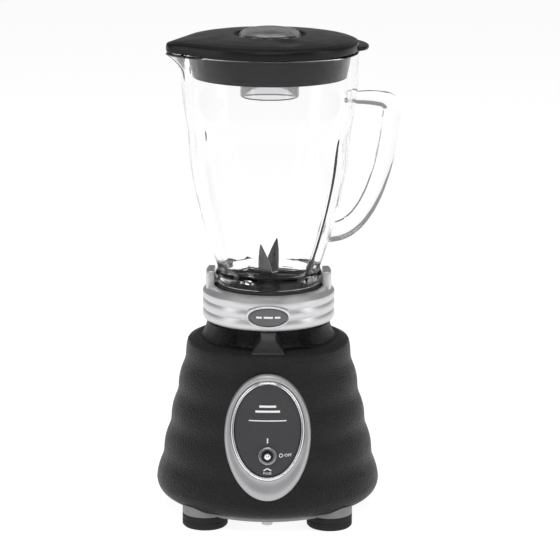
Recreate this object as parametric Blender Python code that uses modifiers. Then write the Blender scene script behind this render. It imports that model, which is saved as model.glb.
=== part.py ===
"""Countertop blender: a ringed motor base, a metal jar collar, a glass jar with its blade unit, a lid
and a filler cap, at real size.

Frame: the origin is on the floor under the middle of the base, +Z is up, the control panel faces -Y and
the jar's handle points to +X, turned by JAR_TURN. All sizes are in millimetres, and a mesh is made in metres.
"""

import math

import bmesh
import bpy
from mathutils import Matrix, Vector

MM = 0.001
GAP = 0.3  # between pieces that touch

# Fineness of the round pieces.
LARGE_STEPS = 32
MIDDLE_STEPS = 16
SMALL_STEPS = 8
FRONT_STEPS = 2 * LARGE_STEPS  # of the thin pieces that curve with the housing's front

# Feet and base plate.
FOOT_HEIGHT = 11.0
FOOT_RADIUS = 17.9
FOOT_SPACING = 98.0
FOOT_SOCKET = 1.2
PLATE_THICKNESS = 3.5
LOBE_HEIGHT = 8.8
PLATE_SLOPE = 3.0
AIR_EYE = 6.0
AIR_SLOTS = 8
AIR_SLOT_REACH = (11.0, 25.0)
AIR_SLOT_HALF_ANGLES = (5.0, 3.0)
FOOT_COUNTERBORE = 5.0
SCREW_HEAD_RADIUS = 4.2
SCREW_HEAD_HEIGHT = 2.5
BOSS_RADIUS = 6.0
BOSS_HEIGHT = 14.0
BOSS_CIRCLE_INSET = 7.8

# Motor housing: a tapered drum with soft rings.
BASE_RADIUS = 88.8
SHOULDER_RADIUS = 63.6
HOUSING_HEIGHT = 143.7
HOUSING_WALL = 3.6
SKIRT_ROUND = 12.0
SHOULDER_DROP = 18.6
RING_PITCH = 26.3
RING_DEPTH = 0.83
FIRST_RING = 18.3
RING_POINTS = 4
DISH_RADIUS = 56.0
DISH_DEPTH = 3.0
NECK_RADIUS = 38.0
NECK_RIB_WIDTH = 14.3
NECK_RIB_REACH = 49.0
DRIVE_WINDOW = 16.0

# Collar that the jar stands in.
COLLAR_WALL = 10.2
COLLAR_HEIGHT = 26.9
COLLAR_RIDGES = 3
RIDGE_HEIGHT = 8.2
RIDGE_GROOVE = 1.0
COLLAR_FLOOR = 3.8
COLLAR_FLOOR_BORE = 30.0
LUG_THICKNESS = 6.2
LUG_HALF_ANGLE = 14.0
LUG_RISE = 11.8

# Control panel, on the front of the housing.
PANEL_HALF_WIDTH = 25.6
PANEL_HALF_HEIGHT = 34.5
PANEL_CENTRE = 85.4
PANEL_PROUD = 2.4
PANEL_DEPTH = 1.5
TRIM_WIDTH = 2.7
TRIM_PROUD = 4.2
BEZEL_HALF_WIDTH = 33.6
BEZEL_HALF_HEIGHT = 48.0
BEZEL_DROP = 5.2
BEZEL_PROUD = 3.3

# Badge on the collar.
BADGE_HALF_WIDTH = 17.3
BADGE_HALF_HEIGHT = 9.0
BADGE_RIM = 1.7
BADGE_PROUD = 2.3
BADGE_DEPTH = 0.9
BADGE_RISE = 11.8

# Toggle switch.
SWITCH_RISE = 15.7  # from the panel's lower end
NUT_RADIUS = 7.2
NUT_HEIGHT = 2.3
BUSH_RADIUS = 4.1
BUSH_BORE = 3.3
SWITCH_WIDTH = 13.0
SWITCH_LENGTH = 20.0
SWITCH_DEPTH = 17.0
LEVER_RADIUS = 1.5
LEVER_BALL = 2.7
LEVER_REACH = 8.0
LEVER_PIVOT = -2.0
LEVER_PIVOT_BALL = 2.5

# Motor.
SHAFT_RADIUS = 4.0
ROTOR_RADIUS = 19.4
ROTOR_LENGTH = 36.0
ROTOR_TEETH = 12
SLOT_DEPTH = 5.0
AIR_GAP = 0.7
STATOR_RADIUS = 36.0
STATOR_YOKE = 8.0
POLE_HALF_ANGLE = 42.0
COIL_OVERHANG = 5.0
COMMUTATOR_RADIUS = 11.5
COMMUTATOR_LENGTH = 12.0
BRUSH_SIDE = 6.0
BRUSH_LENGTH = 14.0
HOLDER_SIDE = 10.0
HOLDER_LENGTH = 18.0
BRACKET_THICKNESS = 4.0
BEARING_RADIUS = 9.4
BEARING_HEIGHT = 8.0
HUB_WALL = 3.0
HUB_LIP = 2.0
SHAFT_CLEARANCE = 1.5
WINDOW_HALF_ANGLE = 28.0
FAN_RADIUS = 25.0
FAN_HEIGHT = 11.0
FAN_BLADES = 6
FAN_BLADE_HALF = 0.8
BOLT_RADIUS = 2.1
BOLT_HEAD_RADIUS = 3.8
BOLT_CIRCLE = 32.0
POST_RADIUS = 4.5
POST_HEIGHT = 24.0
POST_HOLE_DEPTH = 12.0
STUD_SIDE = 9.0
STUD_HEIGHT = 12.0
STUD_FLANGE = 10.0

# Blade unit in the foot of the jar.
CAP_WALL = 3.9
CAP_LEDGE = 2.7
CAP_RISE = 1.9
BEARING_FLANGE = 2.7
BLADE_FLOOR_RADIUS = 29.0
BLADE_FLOOR_RISE = 17.0
SEAL_THICKNESS = 2.2
SOCKET_RADIUS = 10.5
SOCKET_CLEARANCE = 0.4
BLADE_SHAFT_RADIUS = 4.0
BLADE_NUT_RADIUS = 6.2
BLADE_THICKNESS = 1.6
BLADE_WIDTH = 11.0
UPPER_BLADE_REACH = 12.0
UPPER_BLADE_RISE = 30.0
LOWER_BLADE_REACH = 27.0
LOWER_BLADE_DROP = 3.0
UPPER_BLADE_TURN = 78.0
LOWER_BLADE_TURN = -12.0
SPACER_HEIGHT = 4.5

# Glass jar.
JAR_TURN = 16.0
JAR_HEIGHT = 184.0
JAR_RADIUS = 69.3
JAR_WAIST = 40.6
JAR_WALL = 4.0
JAR_THREAD_WALL = 5.2
BEAD_HEIGHT = 9.5
BEAD_PROUD = 1.6
BOWL_POWER = 2.2
BOWL_PINCH = 2.2
BOWL_RINGS = 9
PINCH_PLACE = 0.63
PINCH_SPREAD = 0.12
SPOUT_REACH = 15.5
SPOUT_DEPTH = 20.0
SPOUT_HALF_ANGLE = 31.0
HANDLE_TOP = 40.0
HANDLE_REACH = 100.0
HANDLE_THICKNESS = 14.8
HANDLE_FOOT = 148.0
GRIP_POINTS = 9

# Lid and filler cap.
BRIM_HEIGHT = 8.5
LID_TIP_REACH = 13.4
LID_TIP_ROUND = 13.0
LID_CROWN = 3.5
LID_SKIN = 3.5
PLUG_DEPTH = 20.5
PLUG_TOP_CLEARANCE = 4.3
PLUG_TAPER = 3.9
PLUG_WALL = 2.6
TAB_REACH = 9.0
TAB_HALF_WIDTH = 29.0
TAB_THICKNESS = 3.0
CUP_RADIUS = 23.6
CUP_WALL = 2.2
CUP_DEPTH = 47.0
CUP_FLANGE = 2.0
CUP_DOME = 5.6
CUP_SLEEVE = 15.0

# Cord gland at the back.
GLAND_HEIGHT = 36.0
GLAND_RADIUS = 6.0
GLAND_FLANGE = 9.0
GLAND_FLANGE_THICKNESS = 2.4
GLAND_BORE = 3.7

# Heights that follow from the sizes above.
PLATE_BOTTOM = FOOT_HEIGHT - FOOT_SOCKET + GAP
PLATE_TOP = PLATE_BOTTOM + PLATE_THICKNESS
HOUSING_BOTTOM = PLATE_TOP + GAP
WIDEST = HOUSING_BOTTOM + SKIRT_ROUND
HOUSING_TOP = HOUSING_BOTTOM + HOUSING_HEIGHT
SHOULDER = HOUSING_TOP - SHOULDER_DROP
DISH_RIM = SHOULDER + 0.4 * SHOULDER_DROP
TAPER = (BASE_RADIUS - SHOULDER_RADIUS) / (SHOULDER - WIDEST)
PANEL_TILT = math.atan(TAPER)
SWITCH_HEIGHT = PANEL_CENTRE - PANEL_HALF_HEIGHT + SWITCH_RISE
COLLAR_BOTTOM = HOUSING_TOP + GAP
COLLAR_TOP = COLLAR_BOTTOM + COLLAR_HEIGHT
JAR_SEAT = COLLAR_BOTTOM + COLLAR_FLOOR
CAP_BOTTOM = JAR_SEAT + GAP
CAP_TOP = COLLAR_TOP + CAP_RISE
BEARING_BOTTOM = CAP_BOTTOM + CAP_LEDGE + GAP
SEAL_BOTTOM = BEARING_BOTTOM + BEARING_FLANGE + GAP
GLASS_BOTTOM = SEAL_BOTTOM + SEAL_THICKNESS + GAP
BEAD_BOTTOM = CAP_TOP + GAP
JAR_TOP = BEAD_BOTTOM + JAR_HEIGHT
LID_BOTTOM = JAR_TOP + GAP
LID_TOP = LID_BOTTOM + BRIM_HEIGHT

# Radii that follow.
SCREW_HOLE = BOLT_RADIUS + GAP
CAP_RADIUS = JAR_WAIST + BEAD_PROUD - 0.4
COLLAR_BORE = CAP_RADIUS + GAP
COLLAR_RADIUS = COLLAR_BORE + COLLAR_WALL
THREAD_RADIUS = CAP_RADIUS - CAP_WALL - GAP
GLASS_BORE = THREAD_RADIUS - JAR_THREAD_WALL
STATOR_BORE = ROTOR_RADIUS + AIR_GAP
CUP_BORE = CUP_RADIUS + 0.8

# Heights of the motor's pieces, from the base plate up.
LOWER_BRACKET = PLATE_TOP + POST_HEIGHT + GAP
COMMUTATOR_BOTTOM = LOWER_BRACKET + 12.0
CORE_BOTTOM = COMMUTATOR_BOTTOM + COMMUTATOR_LENGTH + COIL_OVERHANG + 1.5
CORE_TOP = CORE_BOTTOM + ROTOR_LENGTH
UPPER_BRACKET = CORE_TOP + COIL_OVERHANG + 2.0
FAN_BOTTOM = LOWER_BRACKET - FAN_HEIGHT - 3.0
STUD_BOTTOM = HOUSING_TOP - STUD_HEIGHT
SOCKET_BOTTOM = STUD_BOTTOM + 2.5
BLADE_FLOOR = BEARING_BOTTOM + BLADE_FLOOR_RISE
HUB_TOP = BLADE_FLOOR + 13.0


def fresh_collection(name):
    """A new collection in the scene."""
    made = bpy.data.collections.new(name)
    bpy.context.scene.collection.children.link(made)
    return made


for old in list(bpy.data.objects):
    bpy.data.objects.remove(old, do_unlink=True)

# Turns a shape that stands on the floor so that its top faces the front, or the back.
FORWARD = Matrix.Rotation(math.pi / 2, 4, "X")
BACKWARD = Matrix.Rotation(-math.pi / 2, 4, "X")

PARTS = fresh_collection("countertop_blender")
TOOLS = fresh_collection("cutters")


def finish(name, colour, roughness, metallic=0.0, transmission=0.0):
    """A Principled material in one plain finish."""
    made = bpy.data.materials.new(name)
    made.use_nodes = True
    shader = made.node_tree.nodes["Principled BSDF"]
    shader.inputs["Base Color"].default_value = (*colour, 1.0)
    shader.inputs["Roughness"].default_value = roughness
    shader.inputs["Metallic"].default_value = metallic
    shader.inputs["Transmission Weight"].default_value = transmission
    return made


def shoelace(outline):
    """Signed area of a closed outline, positive when it runs anticlockwise."""
    pairs = zip(outline, outline[1:] + outline[:1])
    return sum(a[0] * b[1] - b[0] * a[1] for a, b in pairs) / 2


def place(name, mesh, material, parent=None):
    """A new object for the mesh, in the parts' collection."""
    made = bpy.data.objects.new(name, mesh)
    PARTS.objects.link(made)
    if material:
        mesh.materials.append(material)
    made.parent = parent
    return made


def axis_empty(name, at, rotation=(0.0, 0.0, 0.0)):
    """An empty that marks a joint's axis or a sub-assembly's own frame."""
    made = bpy.data.objects.new(name, None)
    made.location = Vector(at) * MM
    made.rotation_euler = rotation
    PARTS.objects.link(made)
    return made


def turned(name, profile, material=None, steps=LARGE_STEPS, parent=None):
    """A solid of revolution about Z from (radius, height) pairs: a ring, or a solid with both ends on the axis."""
    ring = list(profile)
    if shoelace(ring) > 0:
        ring.reverse()
    edges = [(i, i + 1) for i in range(len(ring) - 1)]
    if all(radius > 0 for radius, _ in ring):
        edges.append((len(ring) - 1, 0))
    mesh = bpy.data.meshes.new(name)
    mesh.from_pydata([(r * MM, 0.0, z * MM) for r, z in ring], edges, [])
    made = place(name, mesh, material, parent)
    screw = made.modifiers.new("turn", "SCREW")
    screw.steps = steps
    screw.render_steps = steps
    screw.use_merge_vertices = True
    screw.merge_threshold = 1e-5
    return made


def tube_ring(name, inner, outer, low, high, material=None, steps=MIDDLE_STEPS, parent=None):
    """A plain ring between two radii and two heights."""
    profile = [(outer, high), (outer, low), (inner, low), (inner, high)]
    return turned(name, profile, material, steps, parent)


def cylinder(name, radius, low, high, material=None, at=(0.0, 0.0), steps=SMALL_STEPS, parent=None):
    """An upright cylinder between two heights."""
    mesh = bpy.data.meshes.new(name)
    shape = bmesh.new()
    bmesh.ops.create_cone(
        shape,
        cap_ends=True,
        segments=steps,
        radius1=radius * MM,
        radius2=radius * MM,
        depth=(high - low) * MM,
        matrix=Matrix.Translation(Vector((at[0], at[1], (low + high) / 2)) * MM),
    )
    shape.to_mesh(mesh)
    shape.free()
    return place(name, mesh, material, parent)


def block(name, low, high, material=None, parent=None):
    """A box between its lowest and highest corners."""
    low, high = Vector(low) * MM, Vector(high) * MM
    mesh = bpy.data.meshes.new(name)
    shape = bmesh.new()
    bmesh.ops.create_cube(
        shape,
        size=1.0,
        matrix=Matrix.Translation((low + high) / 2) @ Matrix.Diagonal((*(high - low), 1.0)),
    )
    shape.to_mesh(mesh)
    shape.free()
    return place(name, mesh, material, parent)


def sphere(name, radius, centre, steps=SMALL_STEPS, parent=None):
    """A ball about a centre."""
    mesh = bpy.data.meshes.new(name)
    shape = bmesh.new()
    bmesh.ops.create_uvsphere(
        shape,
        u_segments=steps,
        v_segments=steps // 2 + 2,
        radius=radius * MM,
        matrix=Matrix.Translation(Vector(centre) * MM),
    )
    shape.to_mesh(mesh)
    shape.free()
    return place(name, mesh, None, parent)


def as_mesh(guide, name, material, parent=None):
    """A curve object made a closed mesh object, in the curve's place."""
    bpy.context.view_layer.update()
    graph = bpy.context.evaluated_depsgraph_get()
    mesh = bpy.data.meshes.new_from_object(guide.evaluated_get(graph))
    shape = bmesh.new()
    shape.from_mesh(mesh)
    bmesh.ops.remove_doubles(shape, verts=shape.verts, dist=1e-6)
    bmesh.ops.recalc_face_normals(shape, faces=shape.faces)
    shape.to_mesh(mesh)
    shape.free()
    mesh.materials.clear()
    made = place(name, mesh, material, parent)
    made.matrix_basis = guide.matrix_world
    bpy.data.objects.remove(guide, do_unlink=True)
    return made


def slab(name, outlines, low, high, material=None, parent=None):
    """A flat piece between two heights: the first outline is its edge, and the others are holes in it."""
    curve = bpy.data.curves.new(name, "CURVE")
    curve.dimensions = "2D"
    curve.fill_mode = "BOTH"
    curve.extrude = (high - low) / 2 * MM
    for outline in outlines:
        spline = curve.splines.new("POLY")
        spline.points.add(len(outline) - 1)
        spline.use_cyclic_u = True
        for point, (x, y) in zip(spline.points, outline):
            point.co = (x * MM, y * MM, 0.0, 1.0)
    guide = bpy.data.objects.new(f"{name}_guide", curve)
    guide.location.z = (low + high) / 2 * MM
    PARTS.objects.link(guide)
    return as_mesh(guide, name, material, parent)


def rod(name, route, radii, material=None, parent=None, resolution=3):
    """A rounded bar along a route of points, with its own radius at each."""
    curve = bpy.data.curves.new(name, "CURVE")
    curve.dimensions = "3D"
    curve.bevel_depth = MM
    curve.bevel_resolution = resolution
    curve.use_fill_caps = True
    spline = curve.splines.new("POLY")
    spline.points.add(len(route) - 1)
    for point, place_at, radius in zip(spline.points, route, radii):
        point.co = (*(Vector(place_at) * MM), 1.0)
        point.radius = radius
    guide = bpy.data.objects.new(f"{name}_guide", curve)
    PARTS.objects.link(guide)
    return as_mesh(guide, name, material, parent)


def combine(target, tool, operation, solver="EXACT"):
    """Boolean of a piece with a helper, which is then hidden among the cutters."""
    if tool.name in PARTS.objects:
        PARTS.objects.unlink(tool)
        TOOLS.objects.link(tool)
    tool.hide_render = True
    tool.display_type = "WIRE"
    modifier = target.modifiers.new(f"{operation.lower()} {tool.name}", "BOOLEAN")
    modifier.operation = operation
    modifier.object = tool
    modifier.solver = solver
    return target


def cut(target, tool, solver="EXACT"):
    """Takes the helper's shape out of the piece."""
    return combine(target, tool, "DIFFERENCE", solver)


def join(target, tool):
    """Adds the helper's shape to the piece."""
    return combine(target, tool, "UNION")


def keep_inside(target, tool):
    """Leaves only what lies inside the helper."""
    return combine(target, tool, "INTERSECT")


def arc(radius, start, end, count, centre=(0.0, 0.0)):
    """Points on an arc between two angles in degrees, both ends included."""
    angles = [math.radians(start + (end - start) * i / (count - 1)) for i in range(count)]
    return [(centre[0] + radius * math.cos(a), centre[1] + radius * math.sin(a)) for a in angles]


def circle(radius, count, centre=(0.0, 0.0)):
    """Points round a full circle."""
    return arc(radius, 0.0, 360.0 * (count - 1) / count, count, centre)


def sector(inner, outer, middle, half_angle, count=7):
    """Outline of a ring's sector about a middle angle, in degrees."""
    start, end = middle - half_angle, middle + half_angle
    return arc(inner, start, end, count) + arc(outer, end, start, count)


def polar(radius, angle):
    """A point at a radius and an angle in degrees."""
    return radius * math.cos(math.radians(angle)), radius * math.sin(math.radians(angle))


def bolt_spots():
    """Centres of the motor's four long bolts."""
    return [polar(BOLT_CIRCLE, angle) for angle in (45, 135, 225, 315)]


def boss_spots():
    """Centres of the four screws that hold the base plate to the housing."""
    return [polar(BASE_RADIUS - SKIRT_ROUND - BOSS_CIRCLE_INSET, angle) for angle in (0, 90, 180, 270)]


def taper_radius(z):
    """Radius of the housing's straight taper at a height, without its rings."""
    return BASE_RADIUS - TAPER * (z - WIDEST)


def housing_radius(z, offset=0.0):
    """Outer radius of the ringed housing at a height, between its skirt and its shoulder."""
    turn = math.tau * (z - HOUSING_BOTTOM - FIRST_RING) / RING_PITCH
    return taper_radius(z) + RING_DEPTH * math.cos(turn) + offset


def housing_side(offset=0.0, per_ring=RING_POINTS):
    """Outer profile of the housing from its bottom edge to its shoulder, optionally grown by an offset."""
    centre = (BASE_RADIUS - SKIRT_ROUND, WIDEST)
    side = arc(SKIRT_ROUND + offset, -84.0, -18.0, 5, centre)
    count = round((SHOULDER - WIDEST) / RING_PITCH * per_ring)
    heights = [WIDEST + (SHOULDER - WIDEST) * i / count for i in range(count + 1)]
    return side + [(housing_radius(z, offset), z) for z in heights]


def front_shell(name, proud, material, backing):
    """A ring that follows the housing's taper and stands proud of it, to be trimmed into a front piece."""
    low, high = WIDEST, SHOULDER + 2.0
    outer = [(taper_radius(low) + proud, low), (taper_radius(high) + proud, high)]
    return turned(name, outer + list(reversed(backing)), material, FRONT_STEPS)


def front_ellipse(name, half_width, half_height, centre_z):
    """An elliptic prism through the front of the housing, along Y."""
    outline = [(x * half_width, y * half_height) for x, y in circle(1.0, LARGE_STEPS)]
    made = slab(name, [outline], 0.4 * BASE_RADIUS, 1.4 * BASE_RADIUS)
    made.matrix_basis = Matrix.Translation((0.0, 0.0, centre_z * MM)) @ FORWARD @ made.matrix_basis
    return made


def add_base_plate(steel, rubber, screw_steel):
    """Base plate with its foot lobes and motor posts, and the feet and screws under it."""
    rim = BASE_RADIUS - SKIRT_ROUND - 0.6
    plate_profile = [
        (rim, PLATE_TOP),
        (rim - PLATE_SLOPE, PLATE_BOTTOM),
        (AIR_EYE, PLATE_BOTTOM),
        (AIR_EYE, PLATE_TOP),
    ]
    plate = turned("base_plate", plate_profile, steel)
    corners = [(x * FOOT_SPACING / 2, y * FOOT_SPACING / 2) for x in (-1, 1) for y in (-1, 1)]
    lobe_top = PLATE_BOTTOM + LOBE_HEIGHT
    wall = housing_side(GAP)[:8]
    inner = BASE_RADIUS - SKIRT_ROUND - HOUSING_WALL - GAP
    low = PLATE_TOP - 0.5
    envelope = turned("housing_envelope", [(inner, low), (wall[0][0], low), *wall, (inner, wall[-1][1])])
    for i, corner in enumerate(corners, 1):
        lobe_bottom = PLATE_BOTTOM + 0.4
        lobe = cylinder(f"lobe_{i}", FOOT_RADIUS, lobe_bottom, lobe_top, at=corner, steps=MIDDLE_STEPS)
        join(plate, cut(lobe, envelope))
    for i, corner in enumerate(corners, 1):
        socket = FOOT_RADIUS + GAP
        socket_top = FOOT_HEIGHT + GAP
        cut(plate, cylinder(f"foot_socket_{i}", socket, 0.0, socket_top, at=corner, steps=MIDDLE_STEPS))
        cut(plate, cylinder(f"foot_screw_hole_{i}", SCREW_HOLE, 0.0, lobe_top - 1.0, at=corner))
    post_top = PLATE_TOP + POST_HEIGHT
    for i, spot in enumerate(bolt_spots(), 1):
        join(plate, cylinder(f"motor_post_{i}", POST_RADIUS, PLATE_BOTTOM + 1.0, post_top, at=spot))
        hole_low = post_top - POST_HOLE_DEPTH
        cut(plate, cylinder(f"motor_post_hole_{i}", SCREW_HOLE, hole_low, post_top + 1.0, at=spot))
    for i, spot in enumerate(boss_spots(), 1):
        cut(plate, cylinder(f"plate_screw_hole_{i}", SCREW_HOLE, 0.0, PLATE_TOP + 1.0, at=spot))
    near, far = AIR_SLOT_REACH
    wide, narrow = AIR_SLOT_HALF_ANGLES
    for i in range(AIR_SLOTS):
        middle = 360.0 / AIR_SLOTS * (i + 0.5)
        slot = [
            polar(near, middle - wide),
            polar(far, middle - narrow),
            polar(far, middle + narrow),
            polar(near, middle + wide),
        ]
        cut(plate, slab(f"vent_{i + 1}", [slot], PLATE_BOTTOM - 1.0, PLATE_TOP + 1.0), "MANIFOLD")

    for i, corner in enumerate(corners, 1):
        foot = cylinder(f"rubber_foot_{i}", FOOT_RADIUS, 0.0, FOOT_HEIGHT, rubber, corner, MIDDLE_STEPS)
        head_top = FOOT_HEIGHT / 2
        cut(foot, cylinder(f"foot_counterbore_{i}", FOOT_COUNTERBORE, -1.0, head_top + GAP, at=corner))
        cut(foot, cylinder(f"foot_hole_{i}", SCREW_HOLE, head_top, FOOT_HEIGHT + 1.0, at=corner))
        screw = cylinder(f"foot_screw_{i}", BOLT_RADIUS, head_top - 1.0, lobe_top - 2.0, screw_steel, corner)
        head_low = head_top - SCREW_HEAD_HEIGHT
        join(screw, cylinder(f"foot_screw_head_{i}", SCREW_HEAD_RADIUS, head_low, head_top, at=corner))
    for i, spot in enumerate(boss_spots(), 1):
        head_top = PLATE_BOTTOM - GAP
        tip = HOUSING_BOTTOM + BOSS_HEIGHT - 5.0
        screw = cylinder(f"plate_screw_{i}", BOLT_RADIUS, head_top - 1.0, tip, screw_steel, spot)
        head_low = head_top - SCREW_HEAD_HEIGHT
        join(screw, cylinder(f"plate_screw_head_{i}", SCREW_HEAD_RADIUS, head_low, head_top, at=spot))


def add_housing(crinkle_black):
    """Hollow housing with its neck, four neck ribs, screw bosses, and the panel and gland openings."""
    outside = housing_side()
    outside += [
        (SHOULDER_RADIUS - 1.6, SHOULDER + 0.25 * SHOULDER_DROP),
        (DISH_RADIUS + 1.5, DISH_RIM),
        (DISH_RADIUS - 2.0, DISH_RIM),
        (NECK_RADIUS + 1.5, DISH_RIM - DISH_DEPTH),
        (NECK_RADIUS, HOUSING_TOP),
    ]
    ceiling = HOUSING_TOP - HOUSING_WALL
    inside = [
        (DRIVE_WINDOW, HOUSING_TOP),
        (DRIVE_WINDOW, ceiling),
        (NECK_RADIUS - HOUSING_WALL, ceiling),
        (NECK_RADIUS - HOUSING_WALL, DISH_RIM - DISH_DEPTH - HOUSING_WALL),
        (DISH_RADIUS - HOUSING_WALL, DISH_RIM - HOUSING_WALL - 1.0),
        (SHOULDER_RADIUS - HOUSING_WALL - 2.0, SHOULDER - 1.0),
        (taper_radius(WIDEST) - HOUSING_WALL, WIDEST),
        (BASE_RADIUS - SKIRT_ROUND - HOUSING_WALL + 4.0, HOUSING_BOTTOM + 4.0),
        (BASE_RADIUS - SKIRT_ROUND - HOUSING_WALL, HOUSING_BOTTOM + 0.07),
    ]
    housing = turned("motor_housing", outside + inside, crinkle_black)

    rib = [
        (NECK_RADIUS - 2.0, HOUSING_TOP - GAP),
        (NECK_RIB_REACH, HOUSING_TOP - GAP),
        (NECK_RIB_REACH + 2.6, HOUSING_TOP - 4.0),
        (NECK_RIB_REACH + 6.2, DISH_RIM + 1.0),
        (DISH_RADIUS + 1.0, DISH_RIM - 1.5),
        (NECK_RADIUS - 2.0, DISH_RIM - DISH_DEPTH - 1.0),
    ]
    for i in range(4):
        fin = slab(f"neck_rib_{i + 1}", [rib], -NECK_RIB_WIDTH / 2, NECK_RIB_WIDTH / 2)
        fin.matrix_basis = Matrix.Rotation(i * math.pi / 2, 4, "Z") @ FORWARD @ fin.matrix_basis
        join(housing, fin)

    boss_top = HOUSING_BOTTOM + BOSS_HEIGHT
    for i, spot in enumerate(boss_spots(), 1):
        join(housing, cylinder(f"boss_{i}", BOSS_RADIUS, HOUSING_BOTTOM + 0.6, boss_top, at=spot))
        cut(housing, cylinder(f"boss_hole_{i}", SCREW_HOLE, HOUSING_BOTTOM - 1.0, boss_top - 3.0, at=spot))

    opening = (PANEL_HALF_WIDTH + 1.0, PANEL_HALF_HEIGHT + 1.0)
    cut(housing, front_ellipse("panel_opening", *opening, PANEL_CENTRE))
    reach = (0.8 * BASE_RADIUS, 1.1 * BASE_RADIUS)
    gland = cylinder("gland_opening", GLAND_RADIUS + GAP, *reach, steps=MIDDLE_STEPS)
    gland.matrix_basis = Matrix.Translation((0.0, 0.0, GLAND_HEIGHT * MM)) @ BACKWARD
    cut(housing, gland)


def add_collar(satin_silver, badge_grey):
    """Ridged metal collar with two jar lugs, and the oval badge on its front."""
    ridge_side = []
    for i in range(COLLAR_RIDGES):
        low = COLLAR_BOTTOM + i * RIDGE_HEIGHT
        ridge_side += [
            (COLLAR_RADIUS - RIDGE_GROOVE, low + 0.35),
            (COLLAR_RADIUS - 0.2, low + 0.25 * RIDGE_HEIGHT),
            (COLLAR_RADIUS - 0.2, low + 0.7 * RIDGE_HEIGHT),
        ]
    top = [
        (COLLAR_RADIUS - 1.6, COLLAR_TOP - 3.4),
        (COLLAR_RADIUS - 4.4, COLLAR_TOP - 1.2),
        (COLLAR_BORE + 1.6, COLLAR_TOP),
        (COLLAR_BORE, COLLAR_TOP - 0.8),
    ]
    well = [
        (COLLAR_BORE, JAR_SEAT),
        (COLLAR_FLOOR_BORE, JAR_SEAT),
        (COLLAR_FLOOR_BORE, COLLAR_BOTTOM),
    ]
    collar = turned("jar_collar", ridge_side + top + well, satin_silver)
    lug_inner = COLLAR_BORE + 1.4
    for i, middle in enumerate((0.0, 180.0), 1):
        outline = sector(lug_inner, lug_inner + LUG_THICKNESS, middle, LUG_HALF_ANGLE)
        join(collar, slab(f"lug_{i}", [outline], COLLAR_TOP - 5.0, COLLAR_TOP + LUG_RISE))

    badge_centre = COLLAR_BOTTOM + BADGE_RISE
    reach = (badge_centre - 1.4 * BADGE_HALF_HEIGHT, badge_centre + 1.4 * BADGE_HALF_HEIGHT)
    back = COLLAR_RADIUS + GAP
    rim = tube_ring("badge_rim", back, COLLAR_RADIUS + BADGE_PROUD, *reach, satin_silver, FRONT_STEPS)
    keep_inside(rim, front_ellipse("badge_edge", BADGE_HALF_WIDTH, BADGE_HALF_HEIGHT, badge_centre))
    inner = (BADGE_HALF_WIDTH - BADGE_RIM, BADGE_HALF_HEIGHT - BADGE_RIM)
    cut(rim, front_ellipse("badge_window", *inner, badge_centre))
    face = COLLAR_RADIUS + BADGE_PROUD - BADGE_DEPTH
    field = tube_ring("badge_plate", back, face, *reach, badge_grey, FRONT_STEPS)
    inner = (inner[0] - GAP, inner[1] - GAP)
    keep_inside(field, front_ellipse("badge_field", *inner, badge_centre))


def add_front_panel(satin_silver, bright_trim, panel_gloss):
    """Egg-shaped bezel, its trim ring and the dark panel plate, all curved with the housing."""
    backing = [(radius, z) for radius, z in housing_side(GAP) if z >= WIDEST]
    backing.append((taper_radius(SHOULDER + 2.0) + RING_DEPTH + GAP, SHOULDER + 2.0))
    trim_size = (PANEL_HALF_WIDTH + GAP + TRIM_WIDTH, PANEL_HALF_HEIGHT + GAP + TRIM_WIDTH)

    bezel = front_shell("panel_bezel", BEZEL_PROUD, satin_silver, backing)
    bezel_centre = PANEL_CENTRE - BEZEL_DROP
    keep_inside(bezel, front_ellipse("bezel_edge", BEZEL_HALF_WIDTH, BEZEL_HALF_HEIGHT, bezel_centre))
    cut(bezel, front_ellipse("bezel_window", trim_size[0] + GAP, trim_size[1] + GAP, PANEL_CENTRE))

    trim = front_shell("panel_trim", TRIM_PROUD, bright_trim, backing)
    keep_inside(trim, front_ellipse("trim_edge", *trim_size, PANEL_CENTRE))
    cut(trim, front_ellipse("trim_window", PANEL_HALF_WIDTH + GAP, PANEL_HALF_HEIGHT + GAP, PANEL_CENTRE))

    low, high = WIDEST, SHOULDER + 2.0
    behind = [(taper_radius(low) - PANEL_DEPTH, low), (taper_radius(high) - PANEL_DEPTH, high)]
    panel = front_shell("control_panel", PANEL_PROUD, panel_gloss, behind)
    keep_inside(panel, front_ellipse("panel_edge", PANEL_HALF_WIDTH, PANEL_HALF_HEIGHT, PANEL_CENTRE))
    frame = switch_frame("panel_hole_axis")
    cut(panel, cylinder("switch_hole", BUSH_RADIUS + GAP, -20.0, 20.0, steps=MIDDLE_STEPS, parent=frame))


def switch_frame(name):
    """Empty on the panel's face at the switch, its Z outwards along the switch and its Y up the panel."""
    face = taper_radius(SWITCH_HEIGHT) + PANEL_PROUD
    return axis_empty(name, (0.0, -face, SWITCH_HEIGHT), (math.pi / 2 - PANEL_TILT, 0.0, 0.0))


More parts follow.
